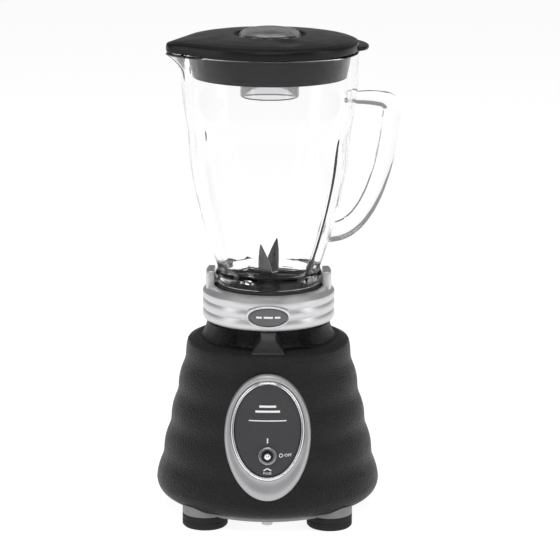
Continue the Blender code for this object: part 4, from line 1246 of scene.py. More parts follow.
    def feet(self, spots: Sequence[Point]) -> None:
        """Four rubber feet with a rounded edge, a shallow groove and a recess under each.

        Args:
            spots: the feet's places in plan.
        """
        span = Span.of("rubber_foot_1")
        profile = [
            (5.0, 0.0),
            (span.radius - 1.6, 0.0),
            (span.radius, 1.6),
            (span.radius, 5.6),
            (span.radius - 0.5, 6.1),
            (span.radius, 6.6),
            (span.radius, span.high - 0.6),
            (span.radius - 0.8, span.high),
            (2.4, span.high),
            (2.4, 5.6),
            (5.0, 5.6),
        ]
        for number, (x, y) in enumerate(spots, 1):
            foot = turned(f"rubber_foot_pad_{number}", eased(profile, 0.5, count=3), 64)
            foot.data.transform(Matrix.Translation((x * MM, y * MM, 0.0)))
            seat(dress(foot, BLACK_RUBBER), "base", "black_rubber", f"rubber_foot_{number}")

    def gland(self) -> None:
        """The flanged bush that the mains lead leaves by."""
        wall = self.skin(self.gland_height)
        face = wall + self.ring_depth + 1.2
        profile = [
            (self.gland_flange, face + 2.4),
            (self.gland_flange, face),
            (self.gland_radius, face),
            (self.gland_radius, wall - self.wall - 3.0),
            (self.gland_bore, wall - self.wall - 3.0),
            (self.gland_bore, face + 2.4),
        ]
        bush = turned("cord_gland_bush", eased(profile, 0.7), 64)
        moved(bush, self.gland_place())
        seat(dress(bush, BLACK_PLASTIC), "base", "black_plastic", "cord_gland")

    def build(self) -> None:
        """Builds the whole motor base."""
        self.housing()
        self.base_plate()
        self.gland()
        for stem in ("foot_screw", "plate_screw", "motor_bolt"):
            redress(SCREW_STEEL, [f"{stem}_{number}" for number in range(1, 5)])


@dataclass
class Motor:
    """The motor inside, which shows through the base plate's air slots."""

    def build(self) -> None:
        """Gives every motor piece its finish."""
        redress(LAMINATED_IRON, ("stator_core", "rotor_core"))
        redress(COPPER_WINDING, ("field_coil_left", "field_coil_right", "commutator"))
        redress(CAST_METAL, ("lower_bracket", "upper_bracket"))
        redress(BEARING_STEEL, ("lower_bearing", "upper_bearing", "motor_shaft"))
        redress(BEARING_STEEL, ("drive_stud", "drive_socket"))
        redress(BRASS, ("brush_holder_left", "brush_holder_right"))
        redress(CARBON, ("carbon_brush_left", "carbon_brush_right"))
        redress(BLACK_PLASTIC, ("cooling_fan", "switch_body"))


# ---------------------------------------------------------------- collar


@dataclass
class Collar:
    """The silver collar with its lugs and its oval badge."""

    radius: float = 52.3
    height: float = 26.9
    badge_height: float = 11.8
    ridge_height: float = 8.2
    groove: float = 1.9
    bore: float = 42.1
    floor: float = 3.8
    floor_bore: float = 30.0
    lug_inner: float = 43.5
    lug_thickness: float = 6.2
    lug_half_angle: float = 14.0

    def __post_init__(self) -> None:
        """Takes the collar's sizes from its CAD node."""
        span = Span.of("jar_collar")
        self.bottom = span.low
        self.top = self.bottom + self.height
        self.lug_top = span.high

    def ring(self) -> bpy.types.Object:
        """The collar: two rounded ridges, a taller one that slopes in, and the well for the jar.

        Returns:
            The collar without its lugs.
        """
        side: list[Point] = []
        for i in range(2):
            low = self.bottom + i * self.ridge_height
            for j in range(13):
                share = j / 12
                bulge = math.sin(math.pi * (0.06 + 0.88 * share)) ** 0.55
                reach = self.radius - self.groove * (1.0 - bulge)
                side.append((reach, low + 0.2 + share * (self.ridge_height - 0.4)))
        low = self.bottom + 2 * self.ridge_height
        for j in range(8):
            share = j / 7
            bulge = math.sin(math.pi / 2 * (0.12 + 0.88 * share)) ** 0.55
            side.append((self.radius - self.groove * (1.0 - bulge), low + 0.2 + share * 4.0))
        top = [
            (self.radius - 0.2, low + 5.6),
            (self.radius - 1.8, self.top - 3.2),
            (self.radius - 4.6, self.top - 1.1),
            (self.bore + 2.2, self.top),
            (self.bore, self.top - 0.6),
            (self.bore, self.bottom + self.floor),
            (self.floor_bore, self.bottom + self.floor),
            (self.floor_bore, self.bottom),
            (self.radius - 2.4, self.bottom),
        ]
        return turned("jar_collar_ring", side + eased(top, 1.6, closed=False), 160)

    def lugs(self) -> list[bpy.types.Object]:
        """Two upright lugs, spun from an upright rectangle.

        Returns:
            The two lugs, on the right and on the left.
        """
        made = []
        low, high = self.top - 5.0, self.lug_top
        outer = self.lug_inner + self.lug_thickness
        corners = [
            (self.lug_inner, low),
            (outer, low),
            (outer, high - 1.5),
            (outer - 1.2, high),
            (self.lug_inner, high),
        ]
        for side in (0, 180):
            outline = [(radius, 0.0, height) for radius, height in corners]
            lug = draw("lug", [*outline, outline[0]])
            weld()
            sweep = math.radians(2 * self.lug_half_angle)
            bpy.ops.mesh.spin(steps=12, angle=sweep, center=(0, 0, 0), axis=(0, 0, 1))
            bpy.ops.mesh.select_all(action="SELECT")
            bpy.ops.mesh.fill_holes(sides=8)
            close_up(lug)
            ends = [math.atan2(vertex.co.y, vertex.co.x) for vertex in lug.data.vertices]
            middle = (max(ends) + min(ends)) / 2
            lug.data.transform(Matrix.Rotation(math.radians(side) - middle, 4, "Z"))
            made.append(soften(lug, 0.9))
        return made

    def badge(self) -> None:
        """An oval badge: a double bright rim and a dark field with three plain raised bars."""
        centre = self.bottom + self.badge_height
        rim = [
            Oval(17.3, 9.0, 0.0, 0.3),
            Oval(17.3, 9.0, 0.0, 1.7),
            Oval(17.0, 8.7, 0.0, 2.2),
            Oval(16.6, 8.3, 0.0, 2.2),
            Oval(16.4, 8.1, 0.0, 1.8),
            Oval(16.2, 7.9, 0.0, 1.8),
            Oval(16.0, 7.7, 0.0, 2.2),
            Oval(15.7, 7.4, 0.0, 2.1),
            Oval(15.6, 7.3, 0.0, 0.3),
        ]
        ring = oval_loft("badge_double_rim", centre, rim, filled=False, steps=128)
        wrapped(ring, self.level)
        seat(dress(ring, BRIGHT_TRIM), "base", "satin_silver", "badge_rim")
        sizes = [(15.3, 7.0, 0.3), (15.3, 7.0, 1.2), (15.0, 6.7, 1.4)]
        sizes += [(15.0 * share, 6.7 * share, 1.4) for share in (0.85, 0.7, 0.55, 0.4, 0.25, 0.1)]
        field_ovals = [Oval(width, height, 0.0, proud) for width, height, proud in sizes]
        field = oval_loft("badge_field", centre, field_ovals, filled=True)
        wrapped(field, self.level)
        seat(dress(field, BADGE_GREY), "base", "badge_grey", "badge_plate")
        bars = []
        for x, width in ((-7.2, 4.4), (0.0, 7.2), (7.2, 4.4)):
            bar = block("badge_bars", Vector((x, -1.55, centre)), (width, 0.6, 1.7), 3)
            bars.append(soften(bar, 0.15, 2))
        mark = wrapped(joined("badge_bars", bars), self.level)
        seat(dress(mark, BRIGHT_TRIM), "base", "bright_trim")

    def level(self, height: float) -> float:
        """Radius that the badge is bent round, the same at every height.

        Args:
            height: any height; not used.

        Returns:
            The collar's radius.
        """
        return self.radius

    def build(self) -> None:
        """Builds the collar and its badge."""
        whole = dress(joined("jar_collar_ring", [self.ring(), *self.lugs()]), SATIN_SILVER)
        seat(whole, "base", "satin_silver", "jar_collar")
        self.badge()


# ---------------------------------------------------------------- control panel


@dataclass
class ControlPanel:
    """The egg-shaped bezel, its trim ring, the dark plate with its printing, and the switch."""

    base: MotorBase
    centre: float = 85.4
    half_width: float = 25.6
    half_height: float = 34.5
    proud: float = 2.4
    switch_height: float = 66.6
    nut_bore: float = 4.3
    nut_radius: float = 7.2
    throw: float = 10.0
    letter: float = 3.1
    ink: float = 0.12

    def __post_init__(self) -> None:
        """Works out the frame in which the switch stands, its Z outwards."""
        narrowing = self.base.base_radius - self.base.shoulder_radius
        lean = math.atan(narrowing / (self.base.shoulder - self.base.widest))
        face = self.base.taper(self.switch_height) + self.proud
        turn = Matrix.Rotation(QUARTER - lean, 4, "X")
        self.stand = Matrix.Translation((0.0, -face * MM, self.switch_height * MM)) @ turn

    def bezel(self) -> None:
        """A rounded ring that is narrow above and broad and flatter below."""
        outer = Oval(33.6, 48.0, 5.2, 0.3)
        inner = Oval(28.9, 37.8, 0.0, 0.3)
        sections = [outer]
        for share in (0.0, 0.03, 0.08, 0.15, 0.24, 0.35, 0.48, 0.6, 0.72, 0.84, 0.93, 1.0):
            rise = 1.0 - (1.0 - min(1.0, share / 0.42)) ** 2.2
            fall = 0.9 * max(0.0, (share - 0.55) / 0.45) ** 2
            sections.append(
                Oval(
                    mix(outer.half_width, inner.half_width, share),
                    mix(outer.half_height, inner.half_height, share),
                    mix(outer.drop, inner.drop, share),
                    1.2 + 2.2 * rise - fall,
                )
            )
        sections.append(inner)
        ring = oval_loft("panel_bezel_ring", self.centre, sections, filled=False, steps=144)
        wrapped(ring, self.base.taper)
        seat(dress(ring, BEZEL_SILVER), "base", "satin_silver", "panel_bezel")

    def trim(self) -> None:
        """A bright ring with one fine groove round its crest."""
        ovals = [(3.0, 0.3), (3.0, 3.3), (2.6, 3.9), (2.1, 4.1), (1.75, 3.7), (1.5, 3.2)]
        ovals += [(1.3, 3.7), (0.9, 3.9), (0.5, 3.4), (0.3, 2.6), (0.3, 0.3)]
        wide, tall = self.half_width, self.half_height
        sections = [Oval(wide + grow, tall + grow, 0.0, proud) for grow, proud in ovals]
        ring = oval_loft("panel_trim_ring", self.centre, sections, filled=False, steps=144)
        wrapped(ring, self.base.taper)
        seat(dress(ring, BRIGHT_TRIM), "base", "bright_trim", "panel_trim")

    def plate(self) -> None:
        """The dark glossy plate, with a hole for the switch."""
        wide, tall = self.half_width, self.half_height
        sections = [
            Oval(wide, tall, 0.0, -1.2),
            Oval(wide, tall, 0.0, self.proud - 0.3),
            Oval(wide - 0.3, tall - 0.3, 0.0, self.proud),
        ]
        for share in (0.93, 0.86, 0.78, 0.7, 0.6, 0.5, 0.4, 0.3, 0.2, 0.1, 0.03):
            sections.append(Oval(wide * share, tall * share, 0.0, self.proud))
        disc = oval_loft("control_panel_plate", self.centre, sections, filled=True)
        wrapped(disc, self.base.taper)
        hole = drum("switch_hole", self.nut_bore + 0.1, -12.0, 12.0)
        combine(disc, moved(hole, self.stand), "DIFFERENCE")
        seat(dress(disc, PANEL_GLOSS), "base", "panel_gloss", "control_panel")

    def printed(self, piece: bpy.types.Object) -> bpy.types.Object:
        """Lays a flat mark drawn in the XZ plane on the plate and gives it the printing ink.

        Args:
            piece: the mark.

        Returns:
            The mark, bent to the plate.
        """
        wrapped(piece, self.base.taper)
        return dress(piece, PRINT_WHITE)

    def bar(
        self, x: float, height: float, width: float, tall: float, lean: float = 0.0
    ) -> bpy.types.Object:
        """One thin bar of ink, with cuts across it so that it bends.

        Args:
            x: its middle, to the right.
            height: its middle, upwards.
            width: its length.
            tall: its thickness.
            lean: how far it leans, in degrees.

        Returns:
            The bar in object mode.
        """
        piece = block("ink", Vector((0.0, 0.0, 0.0)), (width, self.ink, tall), 5)
        middle = Matrix.Translation(Vector((x, -self.proud - 0.04, height)) * MM)
        return moved(piece, middle @ Matrix.Rotation(math.radians(lean), 4, "Y"))

    def words(self, text: str, x: float, height: float, size: float) -> bpy.types.Object:
        """One plain word of ink, centred at a place on the plate.

        Args:
            text: the word.
            x: its middle, to the right.
            height: its middle, upwards.
            size: size of its letters.

        Returns:
            The word in object mode.
        """
        only(None)
        bpy.ops.object.text_add(location=(0.0, 0.0, 0.0))
        label = bpy.context.object
        label.data.body = text
        label.data.size = size * MM
        label.data.extrude = self.ink / 2 * MM
        label.data.align_x = "CENTER"
        label.data.align_y = "CENTER"
        label.data.resolution_u = 3
        bpy.ops.object.convert(target="MESH")
        label = bpy.context.object
        label.name = "ink"
        middle = Matrix.Translation(Vector((x, -self.proud - 0.04, height)) * MM)
        moved(label, middle @ Matrix.Rotation(QUARTER, 4, "X"))
        bpy.ops.object.mode_set(mode="EDIT")
        return close_up(label)

    def printing(self) -> None:
        """The switch's on bar, off ring and pulse arrow, and a plain mark above them."""
        middle = self.switch_height
        sizes = ((1.5, 2.38), (1.5, 2.5), (1.05, 2.5), (1.05, 2.38))
        ring = [Oval(half, half, 0.0, proud) for half, proud in sizes]
        off = oval_loft("ink", middle + 0.2, ring, filled=False, steps=32)
        moved(off, Matrix.Translation((10.4 * MM, 0.0, 0.0)))
        marks = [
            off,
            self.words("/OFF", 15.6, middle + 0.2, self.letter),
            self.bar(0.0, middle + 11.4, 1.0, 3.8),
            self.bar(-1.5, middle - 10.3, 3.4, 0.8, -28.0),
            self.bar(1.5, middle - 10.3, 3.4, 0.8, 28.0),
            self.words("PULSE", 0.0, middle - 13.2, 2.4),
            self.bar(0.0, self.centre + 7.6, 29.0, 0.8),
            self.bar(0.0, self.centre + 14.6, 19.0, 1.6),
            self.bar(0.0, self.centre + 18.4, 13.0, 1.6),
        ]
        seat(self.printed(joined("panel_printing", marks)), "base", "bright_trim")

    def switch(self) -> None:
        """The ring nut, with its bevelled edge, and the ball-ended lever."""
        bore, outer = self.nut_bore, self.nut_radius
        profile = [(bore, 0.3), (outer, 0.3), (outer, 1.5), (6.6, 2.4), (5.2, 2.6), (bore, 2.2)]
        nut = moved(turned("switch_ring_nut", eased(profile, 0.6), 72), self.stand)
        seat(dress(nut, NUT_STEEL), "base", "chrome", "switch_nut")
        pivot = [(0.0, -2.4), (1.6, -2.2), (2.4, -0.6), (2.4, 0.6), (1.5, 2.0)]
        stem = [*pivot, (1.3, self.throw - 3.6), (1.2, self.throw - 2.4)]
        ball = arc(2.7, -58.0, 90.0, 12, (0.0, self.throw))[:-1]
        lever = turned("toggle_ball_lever", [*stem, *ball, (0.0, self.throw + 2.7)], 40)
        moved(lever, self.stand @ Matrix.Translation((0.0, 0.0, -2.0 * MM)))
        seat(dress(lever, CHROME), "toggle", "chrome", "toggle_lever")

    def build(self) -> None:
        """Builds the whole control panel."""
        self.bezel()
        self.trim()
        self.plate()
        self.printing()
        self.switch()


# ---------------------------------------------------------------- blade unit


@dataclass
class BladeUnit:
    """The jar's bottom cap, the dark blade floor, and the turning blades."""

    thickness: float = 1.6
    upper_turn: float = 78.0
    lower_turn: float = -12.0
    lower_droop: float = 3.2
    washer_radius: float = 6.6
    shaft_radius: float = 4.0
    cap_bore: float = 37.9
    well: float = 24.0
    bearing_bore: float = 4.3
    bearing_radius: float = 37.3
    floor_thickness: float = 2.7

    def cap(self) -> None:
        """The black screw cap, a cup with a wide hole in its floor."""
        span = Span.of("jar_bottom_cap")
        profile = [
            (span.radius, span.high - 0.8),
            (span.radius - 0.8, span.high),
            (self.cap_bore + 0.5, span.high),
            (self.cap_bore, span.high - 0.6),
            (self.cap_bore, span.low + self.floor_thickness),
            (self.well, span.low + self.floor_thickness),
            (self.well, span.low),
            (span.radius - 1.0, span.low),
            (span.radius, span.low + 1.0),
        ]
        ring = turned("jar_bottom_cap_ring", eased(profile, 0.5), 128)
        seat(dress(ring, BLACK_PLASTIC), "blade_unit", "black_plastic", "jar_bottom_cap")

    def floor(self) -> None:
        """The blade floor with two shallow grooves round the hub."""
        span = Span.of("blade_bearing")
        top = span.high
        profile = [
            (self.bearing_bore, top),
            (9.0, top),
            (10.2, top - 1.2),
            (14.0, top - 1.4),
            (15.0, top - 0.4),
            (21.0, top - 0.2),
            (22.0, top - 1.2),
            (26.0, top - 1.6),
            (29.0, top - 3.4),
            (29.0, span.low + self.floor_thickness),
            (self.bearing_radius, span.low + self.floor_thickness),
            (self.bearing_radius, span.low),
            (self.bearing_bore, span.low),
        ]
        disc = turned("blade_floor_disc", eased(profile, 0.7), 128)
        seat(dress(disc, BLACK_PLASTIC), "blade_unit", "black_plastic", "blade_bearing")
        redress(BLACK_RUBBER, ("sealing_ring",))

    def arm(
        self, name: str, level: float, stations: Sequence[tuple[float, float, float, float]]
    ) -> bpy.types.Object:
        """One bladed arm, an edge extruded through its stations and given thickness.

        Args:
            name: name of the piece.
            level: height of the arm's underside at the hub.
            stations: (reach, rise, half width, lean) from the hub to the tip.

        Returns:
            The arm as a closed mesh.
        """
        reach, rise, half, lean = stations[0]
        strip = draw(name, [(reach, lean - half, level + rise), (reach, lean + half, level + rise)])
        bpy.ops.mesh.select_all(action="SELECT")
        for before, after in zip(stations, stations[1:]):
            step = Vector((after[0] - before[0], after[3] - before[3], after[1] - before[1])) * MM
            bpy.ops.mesh.extrude_region_move(TRANSFORM_OT_translate={"value": step})
            centre = Vector((after[0], after[3], level + after[1])) * MM
            bpy.ops.transform.resize(value=(1.0, after[2] / before[2], 1.0), center_override=centre)
        close_up(strip)
        apply(strip, "SOLIDIFY", thickness=self.thickness * MM, offset=0.0, use_even_offset=True)
        return soften(strip, 0.35, 2, 50.0)

    def pair(self, name: str, arm: bpy.types.Object, turn: float, node: str) -> None:
        """Two opposite arms with a washer between them, turned and seated as one blade.

        Args:
            name: name of the blade.
            arm: one of its arms.
            turn: its turn about the shaft, in degrees.
            node: the CAD node that it stands for.
        """
        low = Span.of(node).low
        raised = self.lower_droop if node == "lower_blade" else 0.0
        washer = drum("washer", self.washer_radius, low + 0.1, low + 1.5)
        moved(washer, Matrix.Translation((0.0, 0.0, raised * MM)))
        blade = joined(name, [arm, copied(arm, about_z(180.0)), washer])
        moved(blade, about_z(turn))
        seat(dress(blade, BLADE_STEEL, 25.0), "blades", "blade_steel", node)

    def blades(self) -> None:
        """The upright prongs, the low wings, the hub nut and the shaft."""
        floor_top = Span.of("blade_bearing").high
        lower_level = floor_top + 5.3
        upper_level = floor_top + 7.6
        prong = [
            (0.5, 0.0, 5.5, 0.0),
            (6.5, 0.0, 5.5, 0.0),
            (9.3, 0.9, 5.5, 0.0),
            (11.0, 4.0, 5.5, -0.1),
            (11.6, 9.0, 5.1, -0.5),
            (12.0, 15.0, 4.3, -1.3),
            (12.4, 20.0, 3.2, -2.1),
            (12.7, 24.5, 1.9, -2.9),
            (12.9, 28.0, 0.8, -3.5),
            (13.0, 29.6, 0.2, -3.7),
        ]
        wing = [
            (0.5, 0.0, 5.4, 0.0),
            (7.0, 0.0, 5.4, 0.0),
            (11.0, -0.8, 5.3, 0.0),
            (16.0, -1.6, 5.0, 0.3),
            (21.0, -2.3, 4.0, 0.9),
            (24.5, -2.7, 2.5, 1.6),
            (26.6, -2.9, 0.6, 2.4),
        ]
        upright = self.arm("prong", upper_level, prong)
        self.pair("upper_blade_prongs", upright, self.upper_turn, "upper_blade")
        low_arm = self.arm("wing", lower_level, wing)
        self.pair("lower_blade_wings", low_arm, self.lower_turn, "lower_blade")
        span = Span.of("blade_nut")
        nut = drum("blade_hub_nut", 6.2, span.low, span.high, steps=6)
        pick_faces(nut, lambda centre, normal: normal.z > 0.9)
        bpy.ops.mesh.inset(thickness=1.0 * MM)
        bpy.ops.transform.translate(value=(0.0, 0.0, 0.3 * MM))
        bpy.ops.object.mode_set(mode="OBJECT")
        soften(nut, 0.4, 2)
        seat(dress(nut, BEARING_STEEL), "blades", "bearing_steel", "blade_nut")
        shaft = Span.of("blade_shaft")
        radius = self.shaft_radius
        profile = [(0.0, shaft.low), (radius, shaft.low), (radius, shaft.high - 1.2)]
        profile += [(radius - 1.2, shaft.high), (0.0, shaft.high)]
        rod = turned("blade_shaft_rod", profile, 40)
        seat(dress(rod, BEARING_STEEL), "blades", "bearing_steel", "blade_shaft")
        redress(BEARING_STEEL, ("blade_spacer",))

    def build(self) -> None:
        """Builds the whole blade unit."""
        self.cap()
        self.floor()
        self.blades()


# ---------------------------------------------------------------- jar


@dataclass
class Jar:
    """The pressed glass jar: threaded foot, bead, flared bowl with inner ribs, spout and handle."""

    turn: float = 16.0
    rim_radius: float = 69.3
    waist: float = 40.6
    wall: float = 4.0
    thread_radius: float = 37.3
    bore: float = 32.4
    bead: float = 1.6
    bowl_power: float = 2.2
    pinch: float = 2.2
    spout_reach: float = 15.5
    spout_depth: float = 20.0
    spout_half_angle: float = 31.0
    rib_depth: float = 1.7
    rib_dent: float = 0.4
    rib_edge: float = 0.9
    rib_half_width: float = 9.0
    rib_top: float = 302.0
    handle_top: float = 40.0
    handle_foot: float = 148.0
    handle_reach: float = 100.0
    handle_half: float = 7.4

    def __post_init__(self) -> None:
        """Takes the jar's heights from its CAD node and its neighbours."""
        self.bottom = Span.of("glass_jar").low
        self.top = Span.of("glass_jar").high
        self.bead_bottom = Span.of("jar_bottom_cap").high + 0.3
        self.bowl_bottom = self.bead_bottom + 12.5

    def radius(self, height: float) -> float:
        """Outer radius of the bowl at a height.

        Args:
            height: the height.

        Returns:
            The radius.
        """
        share = min(1.0, max(0.0, (height - self.bowl_bottom) / (self.top - self.bowl_bottom)))
        curve = 1.0 - (1.0 - share) ** self.bowl_power
        pinch = self.pinch * math.exp(-(((share - 0.63) / 0.12) ** 2))
        return self.waist + (self.rim_radius - self.waist) * curve - pinch

    def profile(self) -> list[Point]:
        """Closed profile of the glass, up the outside and down the inside.

        Returns:
            The profile's points.
        """
        bead_top = self.bead_bottom + 9.5
        outside = [
            (self.thread_radius, self.bottom + 0.8),
            (self.thread_radius, self.bead_bottom - 0.2),
            (self.waist + self.bead - 0.8, self.bead_bottom),
            (self.waist + self.bead, self.bead_bottom + 1.2),
            (self.waist + self.bead, bead_top - 2.6),
            (self.waist + 0.3, bead_top + 0.4),
        ]
        rows = 44
        heights = [mix(self.bowl_bottom, self.top - 1.2, i / rows) for i in range(rows + 1)]
        outer = [(self.radius(z), z) for z in heights]
        half = self.wall / 2
        lip = arc(half, 20.0, 160.0, 7, (self.rim_radius - half, self.top - half))
        inner = [(self.radius(z) - self.wall, z) for z in reversed(heights[3:])]
        foot = [
            (self.bore + 2.6, self.bead_bottom + 9.0),
            (self.bore + 0.6, self.bead_bottom + 5.0),
            (self.bore, self.bead_bottom),
            (self.bore, self.bottom + 0.8),
            (self.bore + 0.8, self.bottom),
            (self.thread_radius - 0.8, self.bottom),
        ]
        below = eased(outside, 1.2, closed=False, count=3)
        return below + outer + lip + inner + eased(foot, 1.5, closed=False, count=3)

    def shaped(self, point: Vector) -> Vector:
        """Draws the pouring lip out and presses the four ribs into the inner wall.

        Args:
            point: a vertex of the turned bowl.

        Returns:
            Its new place.
        """
        radius = math.hypot(point.x, point.y)
        angle = math.degrees(math.atan2(point.y, point.x))
        extra = 0.0
        share = (point.z - self.top + self.spout_depth) / self.spout_depth
        if share > 0:
            spread = abs((angle % 360.0) - 180.0) / (self.spout_half_angle * share)
            if spread < 1:
                extra += self.spout_reach * min(1.0, share) ** 2 * (1 - spread) ** 1.3
        if point.z < self.rib_top:
            along = max(0.0, (point.z - self.bead_bottom) / (self.rib_top - self.bead_bottom))
            half_width = self.rib_half_width * math.sqrt(1.0 - along**6)
            from_rib = math.radians(angle % 90.0 - 45.0)
            inside = 1.0 - abs(from_rib) * radius / (half_width + 1e-6)
            inner = radius < self.radius(point.z) - 0.6 * self.wall
            depth = self.rib_depth if inner else self.rib_dent
            if inside > 0 and point.z > self.bead_bottom + 4.0:
                extra -= depth * smooth_step(inside / self.rib_edge) * (1.0 - 0.35 * along)
        grown = (radius + extra) / radius
        return Vector((point.x * grown, point.y * grown, point.z))

    def handle(self) -> bpy.types.Object:
        """The handle: a nearly level top bar, a knuckle and a grip that sweeps in to the bowl.

        Returns:
            The handle, with its ends inside the bowl's wall.
        """
        top = self.top - self.handle_top
        foot = self.top - self.handle_foot
        half = self.handle_half
        drop = top - foot
        root = self.radius(foot + 4.0) - 1.5
        route = [
            Vector((self.radius(top) - 2.2, 0.0, top)),
            Vector((self.handle_reach - 8.0, 0.0, top - 2.5)),
            Vector((self.handle_reach - 2.2, 0.0, top - 4.6)),
            Vector((self.handle_reach, 0.0, top - 8.0)),
        ]
        radii = [0.66 * half, 0.86 * half, 0.95 * half, half]
        spans = 9
        for i in range(1, spans + 1):
            share = i / spans
            swing = math.pi / 2 * share
            x = root + (self.handle_reach - root) * math.cos(swing) ** 0.85
            z = top - 8.0 - (drop - 8.0) * math.sin(swing) ** 1.15
            route.append(Vector((x, 0.0, z)))
            radii.append(half * (1.0 + 0.35 * max(0.0, share - 0.7)))
        return swept("jar_handle", route, [0.95 * radius for radius in radii])

    def build(self) -> None:
        """Turns the bowl, joins the handle to its outside and turns the whole to its place."""
        bowl = pulled(turned("glass_jar_bowl", self.profile(), 360), self.shaped)
        handle = self.handle()
        heights = [mix(self.bowl_bottom, self.top - 1.2, i / 20) for i in range(21)]
        space = [(self.radius(z) - 0.5 * self.wall, z) for z in heights]
        core = turned("bowl_space", [(0.0, heights[0]), *space, (0.0, heights[-1])], 192)
        combine(handle, core, "DIFFERENCE")
        combine(bowl, handle, "UNION")
        moved(bowl, about_z(self.turn))
        seat(dress(bowl, CLEAR_GLASS, 40.0), "jar", "clear_glass", "glass_jar")


# ---------------------------------------------------------------- lid


